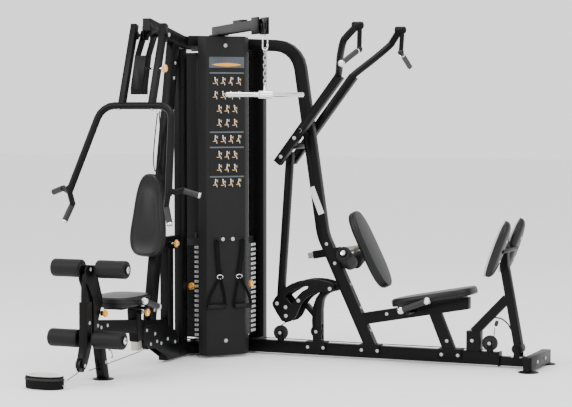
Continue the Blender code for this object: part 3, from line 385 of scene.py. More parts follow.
seat_dir = Vector((1, 0, 0.185)).normalized()
seat_up = Vector((-0.185, 0, 1)).normalized()
row_mid = Vector((1.524, 0, rail_z(1.524))) + seat_up * 0.0716
cushion("row_seat_pad", row_mid, seat_dir, (0, 1, 0), outline(0.256, 0.150, 3.4), 0.0500, 1, "frame",
        "row_seat")
cushion("press_seat_pad", (0, -1.120, 0.4300), (0, -1, 0), (1, 0, 0), outline(0.190, 0.140, 3.0), 0.0600, 1,
        "seat", "press_seat")
chest_dir, chest_out = Vector((0.4408, 0, -0.8976)), Vector((0.8976, 0, 0.4408))
chest_mid = Vector((1.0740, 0, 0.6535)) + chest_out * 0.0280
cushion("chest_cushion", chest_mid, -chest_dir, (0, 1, 0), outline(0.250, 0.104, 2.7), 0.0560, 1, "chest",
        "chest_pad", 0.010)
back_dir = Vector((0, 0.066, 0.486)).normalized()
back_shape = [(a, b * (1 - 0.28 * (a / 0.245))) for a, b in outline(0.245, 0.098, 3.2)]
cushion("back_cushion", (0, -0.772, 0.892), back_dir, (1, 0, 0), back_shape, 0.0700, -1, "backrest",
        "press_back", 0.012)
bm = bmesh.new()
add_bar(bm, (0, -0.765, 0.712), (0, -0.4500, 0.712), 0.0325, 0.0405, (1, 0, 0), 0.002)
piece("back_slide_bar", bm, "nickel", "backrest")


# ---- foam rollers, wheels and caps ---------------------------------------------------------------
def foam(name, start, end, radius, body, node):
    """A foam roller: rounded ends, a hollow core, a slightly uneven skin."""
    a, b = Vector(start), Vector(end)
    length = (b - a).length
    bm = bmesh.new()
    e = 0.010
    profile = [(0.0, 0.0135), (0.0, radius - e)]
    profile += [(e - e * math.cos(math.radians(t)), radius - e + e * math.sin(math.radians(t)))
                for t in (22, 45, 67, 90)]
    profile += [(length * f, radius + 0.0004 * math.sin(9 * f)) for f in (0.2, 0.4, 0.6, 0.8)]
    profile += [(length - e + e * math.sin(math.radians(t)), radius - e + e * math.cos(math.radians(t)))
                for t in (0, 22, 45, 67, 90)]
    profile += [(length, 0.030), (length - 0.0025, 0.0285), (length - 0.0025, 0.0135)]
    add_turned_ring(bm, a, b - a, profile, 40)
    obj = piece(name, bm, "foam", body, 45, (node,))


ROLL_IN, ROLL_OUT = 0.0480, 0.2310
for level, (y, z) in (("upper", (-1.479, 0.635)), ("lower", (-1.519, 0.249))):
    host = "frame" if level == "upper" else "leg_curl"
    for side, s in (("left", -1), ("right", 1)):
        foam(f"{level}_{side}_foam", (s * ROLL_IN, y, z), (s * ROLL_OUT, y, z), 0.0500,
             f"{level}_{side}_roll", f"{level}_roller_{side}")
        bm = bmesh.new()
        add_lathe(bm, (s * (ROLL_OUT + 0.0010), y, z), (s, 0, 0),
                  [(0, 0.0262), (0.0045, 0.0262), (0.0065, 0.0235), (0.0070, 0.0180)])
        piece(f"{level}_{side}_washer", bm, "plastic", host)
        bm = bmesh.new()
        add_lathe(bm, (s * (ROLL_OUT + 0.0040), y, z), (s, 0, 0),
                  [(0, 0.0200), (0.0030, 0.0195), (0.0058, 0.0165), (0.0068, 0.0100)])
        piece(f"{level}_{side}_cap", bm, "chrome", host)
hub = Vector((0.9857, 0.0, 0.5686))
for side, sign in (("near", -1), ("far", 1)):
    d = Vector((0.0764, sign * 0.911, 0.404)).normalized()
    foam(f"row_{side}_foam", hub + d * 0.0310, hub + d * 0.2155, 0.0450, f"row_{side}_roll",
         f"row_roller_{side}")
    bm = bmesh.new()
    add_lathe(bm, hub + d * 0.2170, d, [(0, 0.0200), (0.0030, 0.0195), (0.0058, 0.0160), (0.0068, 0.0100)])
    piece(f"row_{side}_cap", bm, "chrome", "frame")


def wheel(name, centre, axis, radius, body, node):
    """A grooved pulley of one common width: one flank, the groove, and the flank mirrored."""
    c, d = Vector(centre), Vector(axis).normalized()
    h = 0.011
    bm = bmesh.new()
    groove = [(h * 0.62 * math.cos(math.radians(t)), radius - 0.0085 * math.sin(math.radians(t)))
              for t in (0, 30, 60, 90, 120, 150, 180)]
    flank = [(-h, 0.0055), (-h, radius * 0.30), (-h * 0.70, radius * 0.34), (-h * 0.70, radius * 0.78),
             (-h, radius * 0.84), (-h, radius - 0.001), (-h * 0.9, radius)]
    mirrored = [(-s, r) for s, r in reversed(flank)]
    add_turned_ring(bm, c, d, flank + groove[::-1] + mirrored, 40)
    piece(name, bm, "plastic", body, 40, (node,))


boom_wheel = diag(0.984, 0, 1.990)
wheel("row_sheave", (0.516, 0, 0.135), (0, 1, 0), 0.0450, "row_wheel", "row_pulley")
wheel("press_sheave", (1.856, 0, 0.137), (0, 1, 0), 0.0460, "press_wheel", "press_pulley")
wheel("post_sheave", (0.758, 0, 0.154), (0, 1, 0), 0.0400, "post_wheel", "post_pulley")
wheel("low_sheave", (0, -0.812, 0.136), (1, 0, 0), 0.0350, "low_wheel", "low_pulley")
wheel("hook_sheave", (0, -1.591, 0.110), (1, 0, 0), 0.0370, "hook_wheel", "hook_pulley")
wheel("boom_sheave", boom_wheel, DIAG_S, 0.0460, "boom_wheel", "boom_pulley")


# ---- bolts ---------------------------------------------------------------------------------------
BOLT = [(0.0, 0.0105), (0.0014, 0.0105), (0.0016, 0.0086), (0.0034, 0.0084), (0.0046, 0.0066),
        (0.0050, 0.0030)]


def bolts(name, body, places, direction, scale=1.0):
    """Washer and domed head at each place, as one piece."""
    bm = bmesh.new()
    for p in places:
        add_lathe(bm, p, direction, [(s * scale, r * scale) for s, r in BOLT], 14)
    return piece(name, bm, "silver", body, 35)


front, back, right = (0, -1, 0), (0, 1, 0), (1, 0, 0)


def bolts_through(name, body, side, half, scale=1.0):
    """Bolt heads at the same X, Z places on the near and the far side of a tube."""
    bolts(name, body, [(x, -half, z) for x, z in side], front, scale)
    bolts(f"{name}_far", body, [(x, half, z) for x, z in side], back, scale)


row_side = [(0.706, 0.058), (0.808, 0.058), (1.058, 0.058), (1.160, 0.058), (1.565, 0.058), (1.667, 0.058)]
bolts_through("saddle_bolts", "frame", row_side, 0.0306)
spine_side = [(0.828, 0.694), (0.882, 0.578), (1.218, 0.284), (1.597, 0.140), (0.758, 0.154)]
bolts_through("spine_bolts", "frame", spine_side, TUBE_HALF)
edge_bolts = [(0.9317 + 0.4706 * (0.464 - z) + 0.0387, 0, z) for z in (0.452, 0.312, 0.176)]
bolts("spine_edge_bolts", "frame", edge_bolts, (0.905, 0, 0.426))
bolts("wheel_bolts", "frame", [(0.516, -0.0175, 0.135), (1.856, -0.0175, 0.137)], front)
cam_side = [(0.572, 0.300), (0.574, 0.247), (0.657, 0.344), (0.515, 0.321), (0.863, 0.425)]
bolts_through("cam_bolts", "cam", cam_side, 0.0600, 1.15)
bolts("end_bolts", "frame", [(2.160, -0.060, 0.050), (2.160, 0.115, 0.050)], right, 1.1)
bolts("end_plate_bolts", "frame",
      [(2.005, -0.036, 0.0655), (2.052, -0.036, 0.0655), (2.052, 0.036, 0.0655)], UP)
bolts("lever_box_bolt", "leg_press", [(1.754, -0.0300, 0.150)], front)
bolts("shroud_bolts", "frame",
      [diag(0.3730, 0, 1.898), diag(0.3730, 0, 0.103), diag(0.3800, -0.021, 0.724),
       diag(0.3800, 0.043, 0.724)], DIAG_T, 1.15)
bolts("boom_bolt", "frame", [diag(0.400, 0, 2.0190)], UP)
arm_places = [(0.574, 1.225), (0.662, 1.339), (0.700, 1.385)]
bolts_through("lat_bolts", "lat", arm_places, 0.139, 1.1)
bolts("gusset_bolts", "frame",
      [(0.0307, y, z) for y, z in ((-0.861, 0.222), (-0.756, 0.191), (-0.731, 0.143), (-0.676, 0.125),
                                   (-0.591, 0.141), (-0.493, 0.112), (-0.812, 0.136))], right)
bolts("press_frame_bolts", "frame",
      [(TUBE_HALF, y, z) for y, z in ((-1.330, 0.304), (-0.587, 1.975), (-0.574, 1.950), (-0.613, 1.945),
                                      (-1.402, 0.300), (-1.520, 0.635), (-1.442, 0.315), (-1.351, 0.100))],
      right)
bolts("upright_bolts", "frame",
      [(TUBE_HALF, -0.487 - 0.196 * (1.891 - z) + 0.040, z) for z in (1.790, 1.700, 0.330)], right)
bolts("leg_bolts", "leg_curl", [(TUBE_HALF, -1.535, 0.340), (TUBE_HALF, -1.591, 0.110)], right)
bolts("press_bar_bolts", "press", [(s * 0.107, -0.930, 1.5130) for s in (1, -1)], (0, -0.42, -0.9))
bolts("axle_bolts", "press", [(0.1300, -0.756, 1.947)], right, 1.2)


# ---- stack plates, labels and selector pins ------------------------------------------------------
LEFT_FACE, RIGHT_FACE = -0.2800, 0.2970      # Y and X of the stacks' visible faces
HOLE_X = 0.048
# the profile of a thin black disc: painted shade standing in for the dark inside of each peg hole
HOLE_SHADE_DISC = [(0, 0.0072), (0.0006, 0.0068)]
FIRST_PLATE, PITCH, LABEL_TALL = 0.133, 0.0298, 0.0150


def stack_side(key, body, first, last, fixed):
    """White labels, the marks on them, and thin black discs of painted shade where each peg hole is, on the
    face one sees.
    """
    labels, marks, hole_shade_discs = bmesh.new(), bmesh.new(), bmesh.new()
    for k in range(first, last + 1):
        z = FIRST_PLATE + PITCH * k
        if key == "left":
            add_box(labels, (0.078, LEFT_FACE - 0.0003, z), (0.034, 0.0010, LABEL_TALL))
            for n in range(2 if k > 3 else 1):
                add_box(marks, (0.074 + 0.009 * n, LEFT_FACE - 0.0009, z), (0.0045, 0.0006, 0.0085))
            add_lathe(hole_shade_discs, (HOLE_X, LEFT_FACE - 0.0004, z), (0, -1, 0), HOLE_SHADE_DISC, 16)
        else:
            add_box(labels, (RIGHT_FACE + 0.0003, 0.072, z), (0.0010, 0.066, LABEL_TALL))
            for n in range(2 if k > 3 else 1):
                add_box(marks, (RIGHT_FACE + 0.0009, 0.064 + 0.014 * n, z), (0.0006, 0.0080, 0.0085))
            add_lathe(hole_shade_discs, (RIGHT_FACE + 0.0004, 0.0, z), (1, 0, 0), HOLE_SHADE_DISC, 16)
    piece(f"{key}_labels_{fixed}", labels, "label", body)
    piece(f"{key}_digits_{fixed}", marks, "mark", body)
    # each peg hole is painted shade: a black disc laid on the plates' face
    piece(f"{key}_holes_{fixed}", hole_shade_discs, "rubber", body)


for key in ("left", "right"):
    stack_side(key, "frame", 0, 9, "rest")
    stack_side(key, f"{key}_stack", 10, 18, "lift")


KNOB_TURN = [(0, 0.0085), (0.0030, 0.0125), (0.0060, 0.0180), (0.0100, 0.0205), (0.0180, 0.0208),
             (0.0225, 0.0192), (0.0250, 0.0160), (0.0262, 0.0100), (0.0265, 0.0040)]


def knob(name, start, direction, body, rad=1.0):
    """A turned yellow knob with finger ribs."""
    s, d = Vector(start), Vector(direction).normalized()
    bm = bmesh.new()
    add_lathe(bm, s, d, [(a * rad, r * rad) for a, r in KNOB_TURN], 32)
    for k in range(12):
        t = 2 * math.pi * k / 12
        _, side, up = axes_of(d)
        out = math.cos(t) * side + math.sin(t) * up
        add_lathe(bm, s + d * 0.0065 * rad + out * 0.0188 * rad, d,
                  [(0, 0.0012), (0.0015, 0.0030), (0.0120 * rad, 0.0030), (0.0140 * rad, 0.0010)], 8)
    piece(name, bm, "knob", body, 45)


PINS = (("left_select_pin", (0, -1, 0), "left_selector"), ("right_select_pin", (1, 0, 0), "right_selector"),
        ("press_pin", (1, 0, 0), "press_catch"), ("press_back_pin", (1, 0, 0), "backrest_catch"),
        ("press_seat_pin", (1, 0, 0), "seat_catch"))
for name, way, body in PINS:
    NODES[name].data.materials.clear()
    NODES[name].data.materials.append(MAT["chrome"])
    low, high = (Vector(corner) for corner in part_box(name))
    d = Vector(way)
    tip = (low + high) / 2 + d * abs((high - low).dot(d)) / 2
    knob(f"{name}_knob", tip - d * 0.0268, d, body, rad=1.04)
bm = bmesh.new()
add_lathe(bm, (0.0254, -1.400, 0.380), (1, 0, 0),
          [(0, 0.0150), (0.0050, 0.0150), (0.0055, 0.0110), (0.0130, 0.0105)], 24)
piece("post_knob_boss", bm, "plastic", "frame")
knob("post_knob", (0.0370, -1.400, 0.380), (1, 0, 0), "frame", rad=0.92)


# ---- the shroud's exercise chart -----------------------------------------------------------------
FACE_T = 0.3742                              # the shroud's face, along the diagonal
SHEET_T = FACE_T + 0.0010                    # the front of the sheets on it
PRINT = (SHEET_T, SHEET_T + 0.0007)          # back and front of what is printed on them
CHART_LEFT, CHART_RIGHT = -0.106, 0.120


def plate(bm, s0, s1, z0, z1, t0, t1, radius=0.003):
    """A thin rounded plate standing on the shroud's face."""
    corner = []
    for sx, sz, start in ((1, 1, 0), (-1, 1, 90), (-1, -1, 180), (1, -1, 270)):
        for k in range(4):
            a = math.radians(start + 30 * k)
            corner.append(((s0 + s1) / 2 + sx * ((s1 - s0) / 2 - radius) + radius * math.cos(a),
                           (z0 + z1) / 2 + sz * ((z1 - z0) / 2 - radius) + radius * math.sin(a)))
    add_rings(bm, [[diag(t, s, z) for s, z in corner] for t in (t0, t1)])


CHART = ((1.738, 1.388), (1.380, 1.296), (1.288, 1.118), (1.110, 1.036))     # top and bottom of each panel
ROWS = ((4, 4, 3, 3), (4,), (3, 3), (4,))                                    # figures in each of its rows
bm = bmesh.new()
for top, bottom in CHART:
    plate(bm, CHART_LEFT, CHART_RIGHT, bottom, top, FACE_T, SHEET_T)
piece("chart_panels", bm, "chart", "frame")
bm = bmesh.new()
plate(bm, CHART_LEFT, CHART_RIGHT, 1.763, 1.829, FACE_T, SHEET_T)
piece("chart_header_panel", bm, "header", "frame")
frames, figures, pads = bmesh.new(), bmesh.new(), bmesh.new()


def stroke(bm, s0, z0, s1, z1, wide=0.0028):
    """A flat line on the chart from one spot to another."""
    a, b = Vector((s0, z0)), Vector((s1, z1))
    d = (b - a).normalized()
    n = Vector((-d.y, d.x)) * wide / 2
    quad = [a - n - d * wide / 3, b - n + d * wide / 3, b + n + d * wide / 3, a + n - d * wide / 3]
    add_rings(bm, [[diag(t, p.x, p.y) for p in quad] for t in PRINT])


def figure(s, z, kind):
    """One generic little person, a bench or a bar: a pictogram of no one exercise in particular."""
    bend = (0.3, -0.4, 0.1, 0.6, -0.1)[kind % 5]
    head = [(s + 0.0042 * math.cos(a) + 0.004 * bend, z + 0.0215 + 0.0042 * math.sin(a))
            for a in (2 * math.pi * k / 10 for k in range(10))]
    add_rings(figures, [[diag(t, *p) for p in head] for t in PRINT])
    hip = (s - 0.006 * bend, z - 0.004)
    neck = (s + 0.003 * bend, z + 0.015)
    stroke(figures, *hip, *neck, 0.0052)
    knee = (s + 0.010 - 0.006 * bend, z - 0.009 + 0.004 * bend)
    stroke(figures, *hip, *knee, 0.0036)
    stroke(figures, *knee, knee[0] + 0.002, z - 0.023, 0.0032)
    hand = (s + 0.014, z + 0.010 + 0.010 * bend)
    stroke(figures, *neck, *hand, 0.0030)
    stroke(pads, s - 0.014, z - 0.012 + 0.003 * bend, s + 0.002, z - 0.012 + 0.003 * bend, 0.0042)
    stroke(pads, hand[0], hand[1] - 0.007, hand[0], hand[1] + 0.008, 0.0034)


count = 0
for (top, bottom), rows in zip(CHART, ROWS):
    stroke(frames, -0.100, top - 0.006, 0.114, top - 0.006, 0.0085)
    step = (top - bottom - 0.012) / len(rows)
    for row, across in enumerate(rows):
        for column in range(across):
            count += 1
            figure(0.008 + 0.0500 * (column - (across - 1) / 2), top - 0.012 - step * (row + 0.5) - 0.002,
                   count)
piece("chart_figures", figures, "label", "frame")
piece("chart_lines", frames, "bar", "frame")
piece("chart_pads", pads, "amber", "frame")
bm = bmesh.new()
lens = [(0.007 + 0.094 * math.cos(a), 1.782 + 0.0105 * math.sin(a) * abs(math.sin(a)) ** 0.6)
        for a in (2 * math.pi * k / 36 for k in range(36))]
add_rings(bm, [[diag(t, *p) for p in lens] for t in PRINT])
piece("chart_header_lens", bm, "amber", "frame")


# ---- grips, caps and balls -----------------------------------------------------------------------
def sleeve(name, start, end, radius, body, mat="grip", cap="chrome", cap_radius=None, ribs=0):
    """A soft grip over a rod, with a turned cap on its free end."""
    a, b = Vector(start), Vector(end)
    length = (b - a).length
    d = (b - a).normalized()
    skin = radius + 0.0012
    profile = [(0.0, radius * 0.8), (0.0, skin - 0.0025), (0.0012, skin), (length - 0.0012, skin),
               (length, skin - 0.0025)]
    if ribs:
        profile = profile[:3]
        for k in range(ribs):
            f = 0.004 + (length - 0.008) * (k + 0.5) / ribs
            profile += [(f - 0.0022, skin), (f - 0.0008, skin - 0.0008), (f + 0.0008, skin - 0.0008),
                        (f + 0.0022, skin)]
        profile += [(length - 0.0012, skin), (length, skin - 0.0025)]
    bm = bmesh.new()
    add_lathe(bm, a, d, profile, 28)
    piece(name, bm, mat, body, 50)
    if cap:
        r = cap_radius or radius + 0.0018
        bm = bmesh.new()
        add_lathe(bm, b - d * 0.0060, d,
                  [(0, r * 0.95), (0.0010, r), (0.0070, r),
                   *[(0.0070 + s * r, q * r) for s, q in CHROME_CAP]], 28)
        piece(name + "_end", bm, cap, body, 50)


for side, s in (("left", -1), ("right", 1)):
    hand = Vector((s * 0.320, -1.150, 1.034))

    def off(x, y, z):
        """A place beside this hand's end of the press arm, mirrored with it."""
        return hand + Vector((s * x, y, z))

    sleeve(f"press_{side}_upper_grip", off(0.070, 0.052, 0.023), off(0.153, 0.084, -0.003), 0.0160, "press",
           ribs=10)
    sleeve(f"press_{side}_lower_grip", off(-0.015, 0.006, -0.073), off(0.018, -0.021, -0.163), 0.0165,
           "press", ribs=10)
    sleeve(f"seat_{side}_grip", (s * 0.200, -1.190, 0.4307), (s * 0.200, -1.050, 0.3893), 0.0165, "seat",
           cap=None)
    bm = bmesh.new()
    for p, d in (((s * 0.200, -1.210, 0.4366), (0, -1, 0.294)),
                 ((s * 0.200, -1.046, 0.3882), (0, 1, -0.294))):
        add_lathe(bm, p, d, ball(0.0205), 28)
    piece(f"seat_{side}_grip_ends", bm, "chrome", "seat", 50)
    g0, g1 = Vector((1.362, s * 0.172, 0.3278)), Vector((1.518, s * 0.172, 0.3872))
    gd = (g1 - g0).normalized()
    sleeve(f"row_{side}_grip", g0, g1, 0.0165, "frame", cap=None, ribs=12)
    bm = bmesh.new()
    for p, d in ((g0 - gd * 0.004, -gd), (g1 + gd * 0.004, gd)):
        add_lathe(bm, p, d, ball(0.0222), 28)
    piece(f"row_{side}_grip_ends", bm, "chrome", "frame", 50)
    tee = Vector((1.129, s * 0.372, 2.000))
    bm = bmesh.new()
    add_lathe(bm, tee + Vector((0.003, 0, 0)), (-1, 0, 0),
              [(0, 0.0205), (0.0030, 0.0205), (0.0050, 0.0180), (0.0055, 0.009)], 28)
    piece(f"lat_{side}_tee_cap", bm, "silver", "lat", 50)
    h1, h2 = Vector((1.166, s * 0.363, 1.862)), Vector((1.145, s * 0.599, 1.774))
    gd = (h2 - h1).normalized()
    sleeve(f"lat_{side}_handle_grip", h1 + gd * 0.040, h2 - gd * 0.012, 0.0150, "lat", cap=None, ribs=16)
    bm = bmesh.new()
    add_lathe(bm, h2 - gd * 0.004, gd, ball(0.0205), 28)
    add_lathe(bm, h1 + gd * 0.030, gd, [(0, 0.0155), (0.0010, 0.0175), (0.0080, 0.0175), (0.0090, 0.0155)],
              28)
    piece(f"lat_{side}_handle_ends", bm, "chrome", "lat", 50)
    bm = bmesh.new()
    bend = [(0.912, 0.113, 1.680), (0.948, 0.134, 1.726), (1.018, 0.290, 1.823), (1.078, 0.396, 1.904),
            (1.102, 0.400, 1.936), (1.152, 0.374, 1.996)]
    add_tube(bm, smooth_path([(x, s * y, z) for x, y, z in bend], 8), 0.0212, 24)
    piece(f"lat_{side}_bend", bm, "frame", "lat", 60)
    bm = bmesh.new()
    add_lathe(bm, (1.128, s * 0.372, 2.000), (1, 0, 0),
              [(0, 0.0215), (0.0015, 0.0225), (0.0560, 0.0225), (0.0640, 0.0180), (0.0680, 0.0080)], 28)
    piece(f"lat_{side}_tee", bm, "frame", "lat", 45)
    bm = bmesh.new()
    bmesh.ops.create_uvsphere(bm, u_segments=28, v_segments=16, radius=0.0195, matrix=Matrix.Translation(h1))
    piece(f"lat_{side}_elbow", bm, "plastic", "lat", 60)


# ---- the bar on its chain ------------------------------------------------------------------------
HANG = diag(1.030, 0, 0)


def hang(z, s=0.0, t=0.0):
    """A place on the line that the pull bar hangs on, or beside it."""
    return HANG + DIAG_S * s + DIAG_T * t + UP * z


def add_link(bm, centre, up, side, tall, half, wire, n=10, steps=24):
    """A closed oval of wire about a centre, tall along up and half wide along side."""
    c, u, v = Vector(centre), Vector(up).normalized(), Vector(side).normalized()
    straight = max(0.0, tall / 2 - half)
    w = u.cross(v)
    rings = []
    for k in range(steps):
        a = 2 * math.pi * k / steps
        out = u * math.cos(a) + v * math.sin(a)
        p = c + v * half * math.sin(a) + u * (half * math.cos(a) + math.copysign(straight, math.cos(a)))
        rings.append([p + wire * (math.cos(b) * out + math.sin(b) * w)
                      for b in (2 * math.pi * j / n for j in range(n))])
    add_rings(bm, rings, loop=True)


bm = bmesh.new()
add_lathe(bm, hang(1.598, -0.239), DIAG_S,
          [(0, 0.0085), (0.0015, 0.0120), (0.0035, 0.0140), (0.1950, 0.0140), (0.1970, 0.0146),
           (0.2000, 0.0225), (0.2780, 0.0225), (0.2810, 0.0146), (0.2830, 0.0140), (0.4745, 0.0140),
           (0.4765, 0.0120), (0.4780, 0.0085)], 36)
add_lathe(bm, hang(1.6150), UP,
          [(0, 0.0110), (0.0120, 0.0105), (0.0180, 0.0080), (0.0330, 0.0080), (0.0350, 0.0060)], 24)
add_link(bm, hang(1.652), UP, DIAG_T, 0.030, 0.0100, 0.0030)
piece("pull_bar", bm, "chrome", "hanging_bar", 45, ("lat_bar",))
bm = bmesh.new()
for k in range(9):
    way = DIAG_S if k % 2 == 0 else DIAG_T
    add_link(bm, hang(1.6740 + 0.0222 * k), UP, way, 0.0290, 0.0088, 0.0026)
piece("pull_chain", bm, "wire", "hanging_bar", 60)
bm = bmesh.new()
add_link(bm, hang(1.8900), UP, DIAG_S, 0.0740, 0.0150, 0.0036, 12, 32)
add_lathe(bm, hang(1.8740, 0.0150), UP, [(0, 0.0048), (0.0010, 0.0058), (0.0120, 0.0058), (0.0130, 0.0048)],
          16)
piece("pull_carabiner", bm, "chrome", "hanging_bar", 60)


# ---- strap handles on the shroud's hooks ---------------------------------------------------------
def add_belt(bm, path, wide_axis, wide, thick):
    """A flat strap along a path, its width along one axis."""
    pts = [Vector(p) for p in path]
    w = Vector(wide_axis).normalized()
    rings = []
    for i, p in enumerate(pts):
        a, b = pts[max(0, i - 1)], pts[min(len(pts) - 1, i + 1)]
        d = (b - a).normalized()
        n = d.cross(w).normalized()
        ww = n.cross(d).normalized()
        half, h = wide / 2, thick / 2
        rings.append([p + ww * x + n * y
                      for x, y in ((half, h * 0.5), (half * 0.94, h), (-half * 0.94, h), (-half, h * 0.5),
                                   (-half, -h * 0.5), (-half * 0.94, -h), (half * 0.94, -h),
                                   (half, -h * 0.5))])
    add_rings(bm, rings)


STRAP_T = 0.3930


def strap_at(s, z, lift=0.0):
    """A place in the plane that the straps hang in, or a little in front of it."""
    return diag(STRAP_T + lift, s, z)


for side, hook_s, ring_s, grip_a, grip_b in (("near", -0.063, -0.045, -0.132, -0.004),
                                             ("far", 0.105, 0.080, 0.040, 0.164)):
    body = f"{side}_handle"
    bm = bmesh.new()
    belt = smooth_path([strap_at(hook_s, 0.7180), strap_at(hook_s * 0.8 + ring_s * 0.2, 0.6400, 0.0010),
                        strap_at(hook_s * 0.4 + ring_s * 0.6, 0.5700), strap_at(ring_s, 0.5020)], 6)
    add_belt(bm, belt, DIAG_S, 0.0250, 0.0026)
    add_link(bm, strap_at(hook_s, 0.7180), UP, DIAG_T, 0.0200, 0.0085, 0.0024, 8, 20)
    for s in (grip_a + 0.006, grip_b - 0.006):
        belt = smooth_path([strap_at(ring_s + (s - ring_s) * 0.10, 0.4880),
                            strap_at(ring_s + (s - ring_s) * 0.48, 0.4300, 0.0010),
                            strap_at(ring_s + (s - ring_s) * 0.82, 0.3750), strap_at(s, 0.3180)], 6)
        add_belt(bm, belt, DIAG_S + DIAG_T, 0.0200, 0.0026)
    piece(f"{side}_strap", bm, "web", body, 40, (f"strap_{side}",))
    bm = bmesh.new()
    middle = strap_at(ring_s, 0.4960)
    ring_path = [strap_at(ring_s + 0.0190 * math.sin(a), 0.4960 + 0.0120 * math.cos(a))
                 for a in (2 * math.pi * k / 28 for k in range(28))]
    add_rings(bm, [[p + 0.0026 * (math.cos(b) * (p - middle).normalized() + math.sin(b) * DIAG_T)
                    for b in (2 * math.pi * j / 8 for j in range(8))] for p in ring_path], loop=True)
    piece(f"{side}_ring", bm, "chrome", body, 60)
    bm = bmesh.new()
    add_lathe(bm, strap_at(grip_a + 0.0100, 0.3150), DIAG_S,
              [(0, 0.0080), (0.0010, 0.0135), (0.0030, 0.0150), (grip_b - grip_a - 0.0230, 0.0150),
               (grip_b - grip_a - 0.0210, 0.0135), (grip_b - grip_a - 0.0200, 0.0080)], 28)
    piece(f"{side}_strap_grip", bm, "foam", body, 50)
    bm = bmesh.new()
    for s, d in ((grip_a + 0.0100, -1), (grip_b - 0.0100, 1)):
        add_lathe(bm, strap_at(s, 0.3150), DIAG_S * d,
                  [(0, 0.0160), (0.0020, 0.0165), (0.0030, 0.0150), (0.0032, 0.0050)], 24)
    piece(f"{side}_strap_ends", bm, "plastic", body, 50)


# ---- ankle cuff ----------------------------------------------------------------------------------
CUFF = Vector((-0.130, -1.760, 0.0))


def cuff_ring(long_half, short_half, z, n=56, bulge=0.0, tilt=0.0):
    """An oval of the ankle cuff at a height, with a soft wave and a lift towards the back."""
    out = []
    for k in range(n):
        a = 2 * math.pi * k / n
        c, s = math.cos(a), math.sin(a)
        wave = bulge * math.sin(3 * a + 0.7)
        lift = tilt * (s + 1) / 2
        out.append(CUFF + Vector((math.copysign(abs(c) ** 0.9, c) * (long_half + wave),
                                  math.copysign(abs(s) ** 0.9, s) * (short_half + wave), z + lift)))
    return out


bm = bmesh.new()
outer = [(0.1080, 0.0560, 0.0010), (0.1120, 0.0600, 0.0040), (0.1136, 0.0616, 0.0200),
         (0.1140, 0.0620, 0.0380), (0.1132, 0.0612, 0.0560), (0.1120, 0.0600, 0.0690),
         (0.1100, 0.0580, 0.0715)]
inner = [(0.1060, 0.0540, 0.0700), (0.1060, 0.0540, 0.0400), (0.1056, 0.0536, 0.0010)]
rings = [cuff_ring(a, b, z) for a, b, z in outer + inner]
add_rings(bm, rings, loop=True)
piece("cuff_band", bm, "web", "cuff", 40, ("ankle_cuff",))
bm = bmesh.new()
lining = [(0.1066, 0.0546, 0.0020), (0.1072, 0.0552, 0.0700), (0.1062, 0.0542, 0.0728),
          (0.1010, 0.0490, 0.0732), (0.0940, 0.0420, 0.0722), (0.0925, 0.0405, 0.0690),
          (0.0920, 0.0400, 0.0360), (0.0940, 0.0420, 0.0012)]
add_rings(bm, [cuff_ring(a, b, z, bulge=0.0006, tilt=0.010 if z > 0.06 else 0.0) for a, b, z in lining],
          loop=True)
obj = piece("cuff_lining", bm, "fleece", "cuff", 60)
bm = bmesh.new()
strip = [(0.1138, 0.0618, 0.0480), (0.1160, 0.0640, 0.0484), (0.1160, 0.0640, 0.0610),
         (0.1138, 0.0618, 0.0614)]
add_rings(bm, [cuff_ring(a, b, z) for a, b, z in strip], loop=True)
piece("cuff_strap", bm, "rubber", "cuff", 40)
bm = bmesh.new()
add_link(bm, (-0.0090, -1.7600, 0.0400), (0, 0, 1), (1, 0, 0), 0.0440, 0.0130, 0.0030, 10, 28)
piece("cuff_ring", bm, "chrome", "cuff", 60)


# ---- foot plates ---------------------------------------------------------------------------------
TREAD_UP, TREAD_SIDE = Vector((0.343, 0, 0.939)).normalized(), Vector((0, 1, 0))
TREAD_OUT = TREAD_UP.cross(TREAD_SIDE)
TREAD_LONG, TREAD_WIDE = 0.176, 0.066        # half sizes
TREAD_SHAPE = outline(TREAD_LONG, TREAD_WIDE, 2.4, 56)


def add_tread_rings(bm, centre, levels):
    """The foot plate's outline at each height above its middle, drawn in by an inset."""
    rings = []
    for h, i in levels:
        k = 1 - i / TREAD_WIDE
        rings.append([centre + TREAD_UP * a * k + TREAD_SIDE * b * k + TREAD_OUT * h for a, b in TREAD_SHAPE])
    add_rings(bm, rings)


for side, s in (("near", -1), ("far", 1)):
    centre = Vector((1.9370, s * 0.153, 0.7075))
    bm = bmesh.new()
    back_levels = [(0.0020, 0.0035), (-0.0010, 0.0010), (-0.0120, 0.0010), (-0.0240, 0.0040),
                   (-0.0330, 0.0100), (-0.0390, 0.0220), (-0.0410, 0.0400)]
    add_tread_rings(bm, centre, back_levels)
    piece(f"foot_{side}_back", bm, "plastic", "leg_press", 60, (f"foot_plate_{side}",))
    bm = bmesh.new()
    rim = [(0.0018, 0.0060), (0.0018, 0.0004), (0.0060, 0.0000), (0.0118, 0.0010), (0.0136, 0.0040),
           (0.0136, 0.0080), (0.0110, 0.0105), (0.0080, 0.0118), (0.0076, 0.0400)]
    add_tread_rings(bm, centre, rim)
    for k in range(9):
        q = -0.112 + 0.028 * k
        add_box(bm, centre + TREAD_UP * q + TREAD_OUT * 0.0090,
                (0.0052, 0.0850 * (1 - (q / 0.19) ** 4), 0.0044),
                Matrix((TREAD_UP, TREAD_SIDE, TREAD_OUT)).transposed())
    piece(f"foot_{side}_tread", bm, "silver", "leg_press", 40)
    bolts(f"foot_{side}_bolts", "leg_press",
          [centre + TREAD_UP * q - TREAD_OUT * 0.0412 for q in (-0.062, 0.062)], -TREAD_OUT, 1.15)


